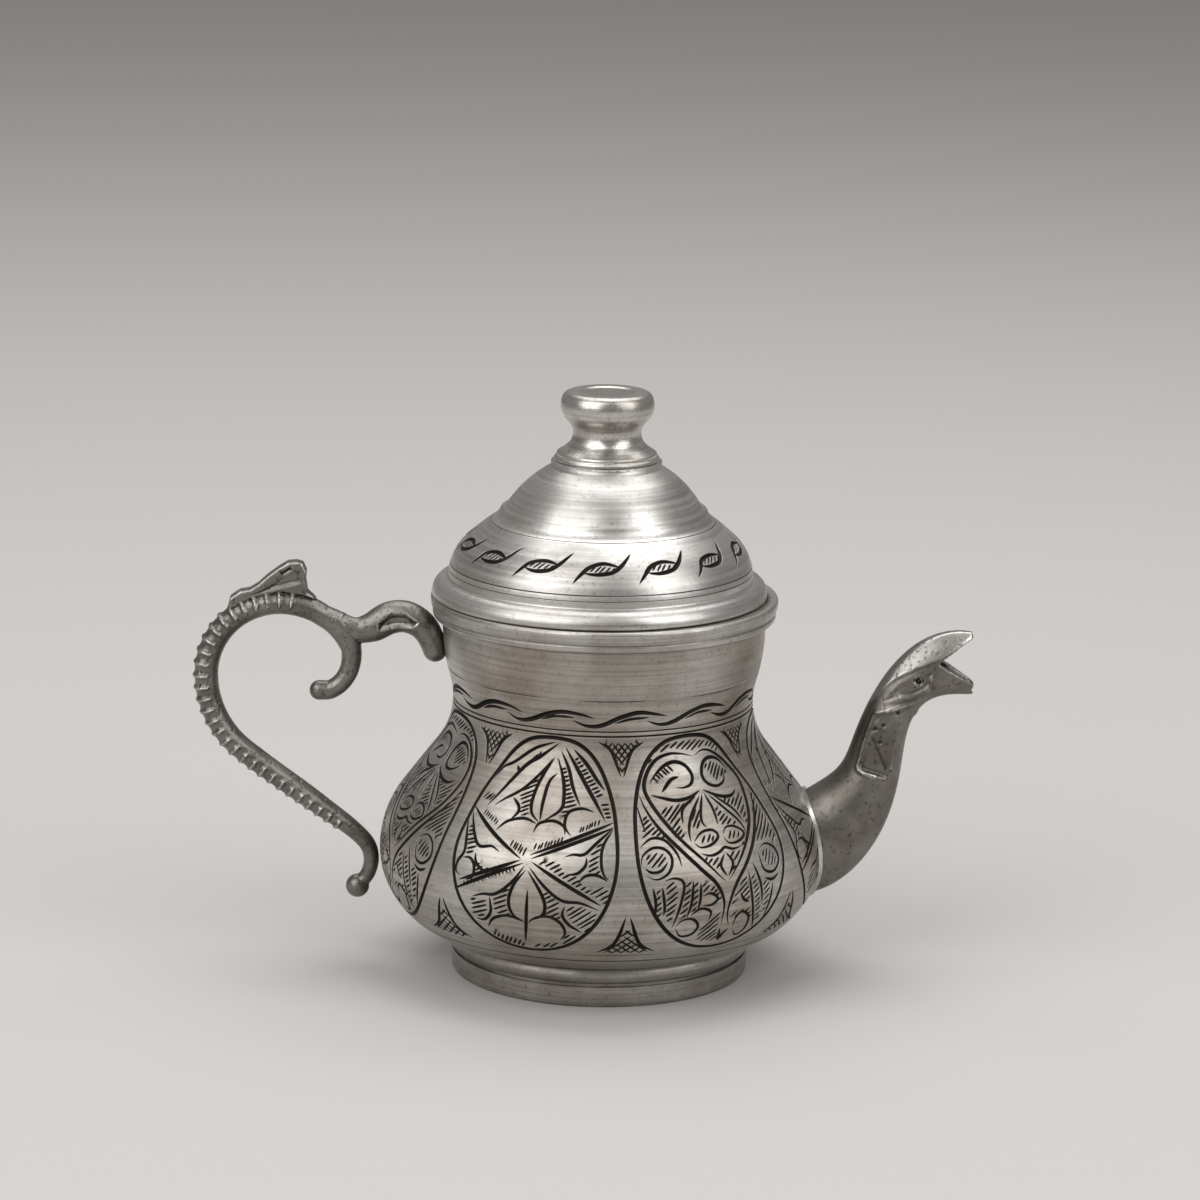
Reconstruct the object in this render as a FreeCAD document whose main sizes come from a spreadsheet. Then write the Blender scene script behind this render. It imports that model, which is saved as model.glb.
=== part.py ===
import FreeCAD, Part
import math
import os
from types import SimpleNamespace

import Sketcher
from FreeCAD import Vector

# A small engraved coffee pot of tinned copper: a spun pot on a stepped foot, a cast spout with
# an open-jawed serpent's head, a cast scroll handle and a loose lid that lifts off.
# Millimetres. The origin is the middle of the foot's underside, +Z is up, +X is the spout's side.
SIZES = {
    # Fits between pieces
    "solder_gap": 0.05,
    "lid_play": 1.75,
    "rivet_gap": 0.06,
    # Foot
    "foot_overhang": 1.8,
    "foot_band": 4.3,
    "foot_edge": 0.6,
    "foot_groove": 0.9,
    "foot_groove_width": 0.8,
    "foot_bead": 0.9,
    "foot_wall": 3.4,
    "foot_height": 8.65,
    # Pot wall, as a bowl, a belly, a straight shoulder, a waist and a flaring neck
    "pot_wall": 1.0,
    "bowl_curve": 17.35,
    "belly_radius": 46.85,
    "belly_curve": 21.0,
    "belly_swell": 15.25,
    "shoulder_slope": 37.1,
    "waist_curve": 16.7,
    "neck_flare": 2.3,
    "neck_curve": 38.0,
    "neck_straight": 6.5,
    # Pour hole through the wall behind the spout
    "pour_hole": 5.0,
    # Rim
    "rim_reach": 2.6,
    "rim_height": 4.7,
    "rim_edge": 0.75,
    "rim_turn": 2.7,
    "rim_round": 0.9,
    # Lid
    "lid_wall": 0.8,
    "flange_reach": 3.2,
    "flange_edge": 0.6,
    "dome_curve": 11.0,
    "dome_slope": 50.0,
    "dome_taper": 4.17,
    "step_width": 1.8,
    "cap_rise": 11.65,
    "cap_curve": 24.0,
    "crown_radius": 11.6,
    "crown_rise": 1.2,
    "collar_depth": 7.0,
    "collar_lap": 1.2,
    "collar_wall": 0.8,
    "collar_lead": 0.5,
    # Knob and its rivet
    "knob_base_radius": 10.7,
    "knob_base_edge": 1.0,
    "knob_neck_radius": 7.1,
    "knob_neck_start": 4.6,
    "knob_neck_end": 7.0,
    "knob_bell_curve": 7.0,
    "knob_bowl_curve": 4.4,
    "knob_disc_radius": 9.8,
    "knob_disc_height": 11.0,
    "knob_shoulder": 1.5,
    "knob_dish_radius": 5.6,
    "knob_dish_depth": 0.35,
    "knob_height": 14.6,
    "rivet_radius": 2.4,
    "rivet_depth": 7.0,
    "rivet_head_radius": 4.2,
    "rivet_head_height": 1.7,
    "washer_radius": 6.6,
    "washer_thick": 0.8,
    # Spout: sections with a place out from the belly and up from its widest circle, a lean, and
    # a half depth and half width
    "spout_wall": 1.6,
    "spout_root_out": -5.0,
    "spout_root_up": 1.5,
    "spout_root_lean": 90.0,
    "spout_root_depth": 10.6,
    "spout_root_width": 8.6,
    "spout_bulb_out": 2.0,
    "spout_bulb_up": 4.5,
    "spout_bulb_lean": 98.0,
    "spout_bulb_depth": 11.3,
    "spout_bulb_width": 7.9,
    "spout_throat_out": 9.8,
    "spout_throat_up": 15.6,
    "spout_throat_lean": 131.0,
    "spout_throat_depth": 7.5,
    "spout_throat_width": 5.9,
    "spout_neck_out": 12.6,
    "spout_neck_up": 27.4,
    "spout_neck_lean": 157.0,
    "spout_neck_depth": 5.2,
    "spout_neck_width": 4.6,
    "spout_nape_out": 16.1,
    "spout_nape_up": 34.6,
    "spout_nape_lean": 149.0,
    "spout_nape_depth": 5.1,
    "spout_nape_width": 4.5,
    "spout_brow_out": 22.4,
    "spout_brow_up": 39.7,
    "spout_brow_lean": 126.0,
    "spout_brow_depth": 6.5,
    "spout_brow_width": 4.4,
    "spout_lips_out": 31.2,
    "spout_lips_up": 41.4,
    "spout_lips_lean": 95.0,
    "spout_lips_depth": 6.6,
    "spout_lips_width": 3.0,
    # Open jaws: a wedge behind which the throat opens, and a trough along the lower jaw
    "jaw_corner_out": 23.5,
    "jaw_corner_up": 41.8,
    "jaw_upper_slope": 35.0,
    "jaw_lower_slope": 32.0,
    "throat_radius": 2.2,
    "throat_reach": 2.6,
    "throat_lean": 102.0,
    "trough_radius": 1.8,
    # Flat panel let into each cheek of the spout's neck, and the eye above it
    "panel_half_width": 4.3,
    "panel_low_back_out": 7.4,
    "panel_low_back_up": 19.0,
    "panel_low_front_out": 15.6,
    "panel_low_front_up": 16.4,
    "panel_high_front_out": 19.6,
    "panel_high_front_up": 33.9,
    "panel_high_back_out": 11.6,
    "panel_high_back_up": 31.0,
    "eye_out": 19.4,
    "eye_up": 38.0,
    "eye_radius": 0.6,
    "eye_half_width": 3.5,
    # Solder run round the foot of the spout
    "solder_width": 0.9,
    "solder_height": 0.8,
    # Handle: a round scroll, a straight ribbed bar and a curled tail that rests on the belly
    "bow_reach": 34.1,
    "bow_drop": 18.7,
    "bow_radius": 15.8,
    "bow_low_radius": 20.9,
    "bow_start": 40.0,
    "bar_slope": 36.0,
    "tail_radius": 7.0,
    "tail_turn": 35.0,
    "tail_length": 3.2,
    "handle_depth": 5.0,
    "handle_width": 5.8,
    "tail_depth": 3.4,
    "tail_width": 4.2,
    "tail_seat": 0.25,
    "tail_ball": 2.5,
    "rib_pitch": 2.45,
    "rib_height": 0.4,
    # Arm from the scroll to the neck, in sections out from the neck and up from the mouth
    "arm_root_out": 22.3,
    "arm_root_up": -7.7,
    "arm_root_lean": 118.0,
    "arm_root_depth": 2.5,
    "arm_root_width": 2.6,
    "arm_dip_out": 17.3,
    "arm_dip_up": -8.7,
    "arm_dip_lean": 92.0,
    "arm_dip_depth": 3.0,
    "arm_dip_width": 2.5,
    "arm_hump_out": 9.6,
    "arm_hump_up": -6.3,
    "arm_hump_lean": 88.0,
    "arm_hump_depth": 3.7,
    "arm_hump_width": 2.6,
    "arm_bend_out": 4.0,
    "arm_bend_up": -8.6,
    "arm_bend_lean": 58.0,
    "arm_bend_depth": 3.8,
    "arm_bend_width": 3.3,
    "arm_pad_out": -1.4,
    "arm_pad_up": -11.2,
    "arm_pad_lean": 78.0,
    "arm_pad_depth": 4.4,
    "arm_pad_width": 4.4,
    # Small curl that hangs inside the scroll
    "curl_out": 24.6,
    "curl_drop": 16.8,
    "curl_radius": 5.1,
    "curl_start": 20.0,
    "curl_turn": 125.0,
    "curl_depth": 4.0,
    "curl_width": 4.6,
    "curl_ball": 2.35,
    # Thumb rest that stands on the scroll
    "crest_thick": 3.6,
    "crest_round": 2.3,
    "crest_tip_out": 31.1,
    "crest_tip_up": 3.7,
    "crest_back_out": 39.6,
    "crest_back_up": 0.6,
    "crest_heel_out": 45.4,
    "crest_heel_up": -3.0,
    "crest_base_start": 70.0,
    "crest_base_end": 135.0,
}

TURN_BETWEEN_SECTIONS = 25.0
ARC_JOIN = 45.0
SPOUT_SECTIONS = ("root", "bulb", "throat", "neck", "nape", "brow", "lips")
ARM_SECTIONS = ("root", "dip", "hump", "bend", "pad")
PANEL_CORNERS = ("low_back", "low_front", "high_front", "high_back")

doc = FreeCAD.newDocument("coffee_pot")
sheet = doc.addObject("Spreadsheet::Sheet", "Sizes")
for row, (name, value) in enumerate(SIZES.items(), start=1):
    sheet.set(f"A{row}", name)
    sheet.set(f"B{row}", str(value))
    sheet.setAlias(f"B{row}", name)
doc.recompute()


class Size:
    """A number together with the sheet formula that it comes from."""

    def __init__(self, number, formula):
        self.number = number
        self.formula = formula

    def __add__(self, other):
        other = as_size(other)
        return Size(self.number + other.number, f"({self.formula} + {other.formula})")

    def __radd__(self, other):
        return as_size(other) + self

    def __sub__(self, other):
        other = as_size(other)
        return Size(self.number - other.number, f"({self.formula} - {other.formula})")

    def __rsub__(self, other):
        return as_size(other) - self

    def __mul__(self, other):
        other = as_size(other)
        return Size(self.number * other.number, f"({self.formula} * {other.formula})")

    def __rmul__(self, other):
        return as_size(other) * self

    def __truediv__(self, other):
        other = as_size(other)
        return Size(self.number / other.number, f"({self.formula} / {other.formula})")

    def __neg__(self):
        return Size(-self.number, f"(-1 * {self.formula})")


def as_size(value):
    return value if isinstance(value, Size) else Size(float(value), f"({float(value)!r})")


def root(value):
    return Size(math.sqrt(value.number), f"sqrt({value.formula})")


def cosine(degrees):
    degrees = as_size(degrees)
    return Size(math.cos(math.radians(degrees.number)), f"cos({degrees.formula})")


def sine(degrees):
    degrees = as_size(degrees)
    return Size(math.sin(math.radians(degrees.number)), f"sin({degrees.formula})")


def arc_cosine(value):
    return Size(math.degrees(math.acos(value.number)), f"(acos({value.formula}) / 1 deg)")


s = SimpleNamespace(**{name: Size(sheet.get(name), f"Sizes.{name}") for name in SIZES})
ON_AXIS = as_size(0)


# Sketches and features

def new_body(label):
    body = doc.addObject("PartDesign::Body", label)
    body.Label = label
    return body


def origin_plane(body, role):
    return next(item for item in body.Origin.OriginFeatures if item.Role == role)


def new_sketch(body, name, role):
    sketch = body.newObject("Sketcher::SketchObject", name)
    sketch.AttachmentSupport = [(origin_plane(body, role), "")]
    sketch.MapMode = "FlatFace"
    return sketch


def constrain(sketch, fixed, sized):
    """Adds plain constraints, then the sized ones, each tied to its sheet formula."""
    sketch.addConstraint(fixed)
    for make, size in sized:
        index = sketch.addConstraint(make(size.number))
        sketch.setExpression(f"Constraints[{index}]", size.formula)


def pin_corner(fixed, sized, piece, end, x, z):
    """Ties one corner to the sheet, or to an axis where it lies on one."""
    if x.number == 0:
        fixed.append(Sketcher.Constraint("PointOnObject", piece, end, -2))
    else:
        sized.append((lambda v: Sketcher.Constraint("DistanceX", -1, 1, piece, end, v), x))
    if z.number == 0:
        fixed.append(Sketcher.Constraint("PointOnObject", piece, end, -1))
    else:
        sized.append((lambda v: Sketcher.Constraint("DistanceY", -1, 1, piece, end, v), z))


def arc_between(start, end, radius, side):
    """The smaller arc from start to end; side is 1 for a left turn and -1 for a right turn."""
    chord = end - start
    height = math.sqrt(max(radius ** 2 - (chord.Length / 2) ** 2, 0))
    left = Vector(-chord.y, chord.x, 0) / chord.Length
    centre = (start + end) / 2 + left * height * side
    ends = [start - centre, end - centre]
    if side < 0:
        ends.reverse()
    first, last = (math.atan2(end.y, end.x) for end in ends)
    return Part.ArcOfCircle(Part.Circle(centre, Vector(0, 0, 1), radius), first, last)


def draw(sketch, corners):
    """A closed outline. A corner is (x, z), or (x, z, radius, side) where an arc leads to it."""
    fixed, sized, ends = [], [], []
    for index, corner in enumerate(corners):
        before = corners[index - 1]
        start = Vector(before[0].number, before[1].number, 0)
        end = Vector(corner[0].number, corner[1].number, 0)
        if len(corner) == 2:
            piece = sketch.addGeometry(Part.LineSegment(start, end))
            ends.append((piece, 1, 2))
        else:
            radius, side = corner[2:]
            piece = sketch.addGeometry(arc_between(start, end, radius.number, side))
            ends.append((piece, 1, 2) if side > 0 else (piece, 2, 1))
            sized.append((lambda v, piece=piece: Sketcher.Constraint("Radius", piece, v), radius))
    for index, corner in enumerate(corners):
        piece, _, last = ends[index]
        following, first, _ = ends[(index + 1) % len(ends)]
        fixed.append(Sketcher.Constraint("Coincident", piece, last, following, first))
        pin_corner(fixed, sized, piece, last, corner[0], corner[1])
    constrain(sketch, fixed, sized)


def draw_circles(sketch, centres, radius):
    fixed, sized = [], []
    for x, z in centres:
        circle = Part.Circle(Vector(x.number, z.number, 0), Vector(0, 0, 1), radius.number)
        piece = sketch.addGeometry(circle)
        pin_corner(fixed, sized, piece, 3, x, z)
        sized.append((lambda v, piece=piece: Sketcher.Constraint("Radius", piece, v), radius))
    constrain(sketch, fixed, sized)


def outline(body, name, corners):
    """A closed outline on the upright plane of the spout and the handle."""
    sketch = new_sketch(body, name, "XZ_Plane")
    draw(sketch, corners)
    return sketch


def turned(body, kind, name, sketch):
    """A full turn of a sketch about the pot's axis: a Revolution adds and a Groove cuts."""
    feature = body.newObject(f"PartDesign::{kind}", name)
    feature.Profile = sketch
    feature.ReferenceAxis = (sketch, ["V_Axis"])
    feature.Angle = 360


def place_on_plane(item, x, z, lean):
    """Stands a sketch or a solid at a place on the upright plane, leaning in that plane."""
    turn = f"rotation(vector(0; -1; 0); {lean.formula})"
    item.setExpression("AttachmentOffset", f"placement(vector({x.formula}; 0; {z.formula}); {turn})")


def section(body, name, place):
    """An oval cross-section of four arcs, square to the upright plane."""
    x, z, lean, depth, width = place
    sketch = new_sketch(body, name, "XY_Plane")
    place_on_plane(sketch, x, z, lean)
    share = sine(ARC_JOIN) / (1 + cosine(ARC_JOIN))
    end_radius = (width - share * depth) / (1 - share)
    side_radius = (depth - share * width) / (1 - share)
    along = side_radius * cosine(ARC_JOIN)
    across = end_radius * cosine(ARC_JOIN)
    draw(sketch, [
        (along, across, end_radius, 1),
        (-along, across, side_radius, 1),
        (-along, -across, end_radius, 1),
        (along, -across, side_radius, 1),
    ])
    return sketch


def lofted(body, kind, name, places, ruled=False):
    sketches = [section(body, f"{name}{index}", place) for index, place in enumerate(places)]
    feature = body.newObject(f"PartDesign::{kind}", name)
    feature.Profile = sketches[0]
    feature.Sections = sketches[1:]
    feature.Ruled = ruled


def ball(body, name, x, z, radius):
    feature = body.newObject("PartDesign::AdditiveSphere", name)
    feature.AttachmentSupport = [(origin_plane(body, "XY_Plane"), "")]
    feature.MapMode = "FlatFace"
    place_on_plane(feature, x, z, ON_AXIS)
    feature.setExpression("Radius", radius.formula)


def cut_outwards(body, name, sketch, half_width):
    """Cuts a sketch of the upright plane from a distance off that plane to the outside."""
    sketch.setExpression("AttachmentOffset.Base.z", half_width.formula)
    feature = body.newObject("PartDesign::Pocket", name)
    feature.Profile = sketch
    feature.Type = "ThroughAll"
    feature.Reversed = True
    return feature


# Main lines of the pot, from the foot up

floor_radius = s.belly_radius - s.bowl_curve
belly_height = s.foot_height + s.bowl_curve
waist_radius = s.belly_radius - s.belly_swell
neck_radius = waist_radius + s.neck_flare
shoulder_curves = s.belly_curve + s.waist_curve
shoulder_fall = s.belly_swell - shoulder_curves * (1 - cosine(s.shoulder_slope))
shoulder_length = shoulder_fall / sine(s.shoulder_slope)
shoulder_rise = shoulder_curves * sine(s.shoulder_slope) + shoulder_length * cosine(s.shoulder_slope)
waist_height = belly_height + shoulder_rise
neck_curves = s.waist_curve + s.neck_curve
neck_turn = arc_cosine(1 - s.neck_flare / neck_curves)
neck_height = waist_height + neck_curves * sine(neck_turn)
mouth_height = neck_height + s.neck_straight


def wall_line(offset):
    """Corners of the pot's wall from the floor's edge to the mouth, moved out by an offset."""
    belly_x = s.belly_radius - s.belly_curve
    waist_x = waist_radius + s.waist_curve
    belly = s.belly_curve + offset
    waist = s.waist_curve - offset
    out = cosine(s.shoulder_slope)
    up = sine(s.shoulder_slope)
    return [
        (floor_radius, s.foot_height - offset),
        (s.belly_radius + offset, belly_height, s.bowl_curve + offset, 1),
        (belly_x + belly * out, belly_height + belly * up, belly, 1),
        (waist_x - waist * out, waist_height - waist * up),
        (waist_x - waist * cosine(neck_turn), waist_height + waist * sine(neck_turn), waist, -1),
        (neck_radius + offset, neck_height, s.neck_curve + offset, 1),
        (neck_radius + offset, mouth_height),
    ]


def reversed_line(corners):
    """The same corners walked the other way, with each arc kept between its two ends."""
    arcs = [corner[2:] for corner in corners[1:]] + [()]
    turned_round = []
    for corner, arc in zip(reversed(corners), reversed(arcs)):
        turned_round.append(corner[:2] + ((arc[0], -arc[1]) if arc else ()))
    return turned_round


def filled_wall():
    """The whole of the pot up to just outside its wall, to seat a casting on the wall."""
    line = wall_line(s.solder_gap)
    return [(ON_AXIS, line[0][1])] + line + [(ON_AXIS, mouth_height)]


# Pot: one spun sheet with a flat floor, pierced behind the spout

def make_pot_body():
    body = new_body("pot_body")
    outside = wall_line(ON_AXIS)
    inside = wall_line(-s.pot_wall)
    wall = [(ON_AXIS, outside[0][1])] + outside + reversed_line(inside) + [(ON_AXIS, inside[0][1])]
    turned(body, "Revolution", "Spun", outline(body, "Wall", wall))
    hole = new_sketch(body, "PourHole", "YZ_Plane")
    draw_circles(hole, [(ON_AXIS, belly_height + s.spout_root_up)], s.pour_hole)
    pierced = body.newObject("PartDesign::Pocket", "Pierced")
    pierced.Profile = hole
    pierced.Type = "Length"
    pierced.Reversed = True
    pierced.setExpression("Length", (s.belly_radius + s.pot_wall).formula)
    return body


# Rim: a thick band soldered round the mouth, flat on top where the lid rests

def make_rim_ring():
    body = new_body("rim_ring")
    inner = neck_radius + s.solder_gap
    outer = neck_radius + s.rim_reach
    bottom = mouth_height - s.rim_height
    swell = outer - inner - s.rim_edge
    turn_curve = (swell * swell + s.rim_turn * s.rim_turn) / (2 * swell)
    turned(body, "Revolution", "Band", outline(body, "Section", [
        (inner, bottom),
        (inner + s.rim_edge, bottom),
        (outer, bottom + s.rim_turn, turn_curve, 1),
        (outer, mouth_height - s.rim_round),
        (outer - s.rim_round, mouth_height, s.rim_round, 1),
        (inner, mouth_height),
    ]))
    return body


# Foot: a turned ring with a plain band, a groove and a bead under the belly

def make_foot_ring():
    body = new_body("foot_ring")
    outer = floor_radius + s.foot_overhang
    inner = outer - s.foot_wall
    seat = s.foot_height - s.solder_gap
    seat_curve = s.bowl_curve + s.solder_gap
    top = belly_height - root(seat_curve * seat_curve - s.foot_overhang * s.foot_overhang)
    groove_top = s.foot_band + s.foot_groove_width
    half_bead = (top - groove_top) / 2
    bead_curve = (half_bead * half_bead + s.foot_bead * s.foot_bead) / (2 * s.foot_bead)
    turned(body, "Revolution", "Ring", outline(body, "Section", [
        (inner, ON_AXIS),
        (outer - s.foot_edge, ON_AXIS),
        (outer, s.foot_edge, s.foot_edge, 1),
        (outer, s.foot_band),
        (outer - s.foot_groove, s.foot_band),
        (outer - s.foot_groove, groove_top),
        (outer, groove_top),
        (outer, top, bead_curve, 1),
        (floor_radius, seat, seat_curve, -1),
        (inner, seat),
    ]))
    return body


# Lid: a spun sheet with a round flange, a low dome, a cap and a small crown for the knob

collar_radius = neck_radius - s.pot_wall - s.lid_play
dome_radius = collar_radius + s.solder_gap + s.lid_wall
flange_bend = mouth_height + s.flange_edge
flange_top = flange_bend + s.flange_reach
dome_out = cosine(s.dome_slope)
dome_up = sine(s.dome_slope)
shoulder_x = dome_radius - s.dome_curve * (1 - dome_out)
shoulder_z = flange_top + s.dome_curve * dome_up
step_x = shoulder_x - s.dome_taper
step_z = shoulder_z + s.dome_taper * dome_out / dome_up
cap_foot = step_x - s.step_width
crown_foot = step_z + s.cap_rise
crown_top = crown_foot + s.crown_rise
crown_under = crown_top - s.lid_wall


def make_lid_dome():
    body = new_body("lid_dome")
    wall = s.lid_wall
    edge = dome_radius + s.flange_reach
    hole = s.rivet_radius + s.rivet_gap
    run = cap_foot - s.crown_radius
    half_chord = root(run * run + s.cap_rise * s.cap_rise) / 2
    sag = root(s.cap_curve * s.cap_curve - half_chord * half_chord) / (2 * half_chord)
    cap_x = (cap_foot + s.crown_radius) / 2 - s.cap_rise * sag
    cap_z = (step_z + crown_foot) / 2 - run * sag
    cap_inside = s.cap_curve - wall
    crown_depth = crown_under - cap_z
    crown_inside = cap_x + root(cap_inside * cap_inside - crown_depth * crown_depth)
    share = cap_inside / s.cap_curve
    turned(body, "Revolution", "Spun", outline(body, "Sheet", [
        (edge - wall, mouth_height),
        (edge, mouth_height),
        (edge, flange_bend),
        (dome_radius, flange_top, s.flange_reach, 1),
        (shoulder_x, shoulder_z, s.dome_curve, 1),
        (step_x, step_z),
        (cap_foot, step_z),
        (s.crown_radius, crown_foot, s.cap_curve, 1),
        (s.crown_radius, crown_top),
        (hole, crown_top),
        (hole, crown_under),
        (crown_inside, crown_under),
        (cap_x + (cap_foot - cap_x) * share, cap_z + (step_z - cap_z) * share, cap_inside, -1),
        (step_x - wall * dome_out, step_z - wall * dome_up),
        (shoulder_x - wall * dome_out, shoulder_z - wall * dome_up),
        (dome_radius - wall, flange_top, s.dome_curve - wall, -1),
        (dome_radius - wall, flange_top - wall),
        (dome_radius, flange_top - wall),
        (edge - wall, flange_bend, s.flange_reach - wall, -1),
    ]))
    return body


# Collar: a plain hoop soldered inside the dome, which keeps the lid in the mouth

def make_lid_collar():
    body = new_body("lid_collar")
    top = flange_top - s.lid_wall + s.collar_lap
    bottom = mouth_height - s.collar_depth
    inside = collar_radius - s.collar_wall
    turned(body, "Revolution", "Hoop", outline(body, "Section", [
        (inside, bottom),
        (collar_radius - s.collar_lead, bottom),
        (collar_radius, bottom + 2 * s.collar_lead),
        (collar_radius, top),
        (inside, top),
    ]))
    return body


# Knob: a turned casting with a bell foot, a neck and a dished disc, riveted through the crown

def make_lid_knob():
    body = new_body("lid_knob")
    foot = crown_top + s.solder_gap
    bore = s.rivet_radius + s.rivet_gap
    bore_end = foot + s.rivet_depth + s.rivet_gap
    top = foot + s.knob_height
    shoulder = s.knob_disc_radius - s.knob_shoulder
    widest = foot + s.knob_disc_height
    upper = top - widest
    edge_curve = (s.knob_shoulder * s.knob_shoulder + upper * upper) / (2 * s.knob_shoulder)
    turned(body, "Revolution", "Turned", outline(body, "Section", [
        (bore, foot),
        (s.knob_base_radius, foot),
        (s.knob_base_radius, foot + s.knob_base_edge),
        (s.knob_neck_radius, foot + s.knob_neck_start, s.knob_bell_curve, -1),
        (s.knob_neck_radius, foot + s.knob_neck_end),
        (s.knob_disc_radius, widest, s.knob_bowl_curve, 1),
        (shoulder, top, edge_curve, 1),
        (s.knob_dish_radius, top),
        (s.knob_dish_radius - s.knob_dish_depth, top - s.knob_dish_depth),
        (ON_AXIS, top - s.knob_dish_depth),
        (ON_AXIS, bore_end),
        (bore, bore_end),
    ]))
    return body


def make_knob_washer():
    body = new_body("knob_washer")
    top = crown_under - s.solder_gap
    hole = s.rivet_radius + s.rivet_gap
    turned(body, "Revolution", "Disc", outline(body, "Section", [
        (hole, top - s.washer_thick),
        (s.washer_radius, top - s.washer_thick),
        (s.washer_radius, top),
        (hole, top),
    ]))
    return body


def make_knob_rivet():
    body = new_body("knob_rivet")
    shoulder = crown_under - s.washer_thick - 2 * s.solder_gap
    tip = crown_top + s.solder_gap + s.rivet_depth
    width = s.rivet_head_radius
    height = s.rivet_head_height
    head_curve = (width * width + height * height) / (2 * height)
    turned(body, "Revolution", "Headed", outline(body, "Section", [
        (ON_AXIS, shoulder - height),
        (width, shoulder, head_curve, 1),
        (s.rivet_radius, shoulder),
        (s.rivet_radius, tip),
        (ON_AXIS, tip),
    ]))
    return body


# Spout: a hollow casting from a broad root on the belly to a serpent's head with open jaws

def spout_places(grow):
    """The spout's sections, each grown by the same amount all round."""
    places = []
    for name in SPOUT_SECTIONS:
        out, up, lean, depth, width = (
            getattr(s, f"spout_{name}_{what}") for what in ("out", "up", "lean", "depth", "width"))
        places.append((s.belly_radius + out, belly_height + up, lean, depth + grow, width + grow))
    return places


def make_spout():
    body = new_body("spout")
    lofted(body, "AdditiveLoft", "Cast", spout_places(ON_AXIS))
    turned(body, "Groove", "Seated", outline(body, "Seat", filled_wall()))
    corner_x = s.belly_radius + s.jaw_corner_out
    corner_z = belly_height + s.jaw_corner_up
    gape = s.spout_lips_out - s.jaw_corner_out + s.spout_lips_width
    lower_fall = gape * sine(s.jaw_lower_slope) / cosine(s.jaw_lower_slope)
    upper_rise = gape * sine(s.jaw_upper_slope) / cosine(s.jaw_upper_slope)
    jaws = body.newObject("PartDesign::Pocket", "Jaws")
    jaws.Profile = outline(body, "Gape", [
        (corner_x, corner_z),
        (corner_x + gape, corner_z - lower_fall),
        (corner_x + gape, corner_z + upper_rise),
    ])
    jaws.Type = "ThroughAll"
    jaws.Midplane = True
    bore = spout_places(-s.spout_wall)[:-2]
    throat = (corner_x + s.throat_reach, corner_z, s.throat_lean, s.throat_radius, s.throat_radius)
    lofted(body, "SubtractiveLoft", "Bore", bore + [throat])
    along_jaw = 90 - s.jaw_lower_slope
    lofted(body, "SubtractiveLoft", "Trough", [
        (corner_x, corner_z, along_jaw, s.throat_radius, s.throat_radius),
        (corner_x + gape, corner_z - lower_fall, along_jaw, s.trough_radius, s.trough_radius),
    ])
    panel = outline(body, "Panel", [
        (s.belly_radius + getattr(s, f"panel_{name}_out"), belly_height + getattr(s, f"panel_{name}_up"))
        for name in PANEL_CORNERS])
    cheek = cut_outwards(body, "Cheek", panel, s.panel_half_width)
    eye = new_sketch(body, "Eye", "XZ_Plane")
    draw_circles(eye, [(s.belly_radius + s.eye_out, belly_height + s.eye_up)], s.eye_radius)
    socket = cut_outwards(body, "Socket", eye, s.eye_half_width)
    far_side = body.newObject("PartDesign::Mirrored", "FarSide")
    far_side.Originals = [cheek, socket]
    far_side.MirrorPlane = (origin_plane(body, "XZ_Plane"), [""])
    body.Tip = far_side
    return body


def make_spout_solder():
    body = new_body("spout_solder")
    lofted(body, "AdditiveLoft", "Fillet", spout_places(s.solder_width))
    turned(body, "Groove", "Seated", outline(body, "Seat", filled_wall()))
    line = wall_line(s.solder_height)
    far = s.belly_radius + s.spout_lips_out + 2 * s.spout_lips_depth
    skin = line + [(far, mouth_height), (far, line[0][1])]
    turned(body, "Groove", "Trimmed", outline(body, "Skin", skin))
    lofted(body, "SubtractiveLoft", "Round", spout_places(s.solder_gap))
    return body


# Handle: one casting of scroll, ribbed bar, tail, arm, inner curl and thumb rest

bow_x = -(neck_radius + s.bow_reach)
bow_z = mouth_height - s.bow_drop


def around(x, z, radius, angle):
    """The place at an angle on a circle of the upright plane."""
    return x + radius * cosine(angle), z + radius * sine(angle)


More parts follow.
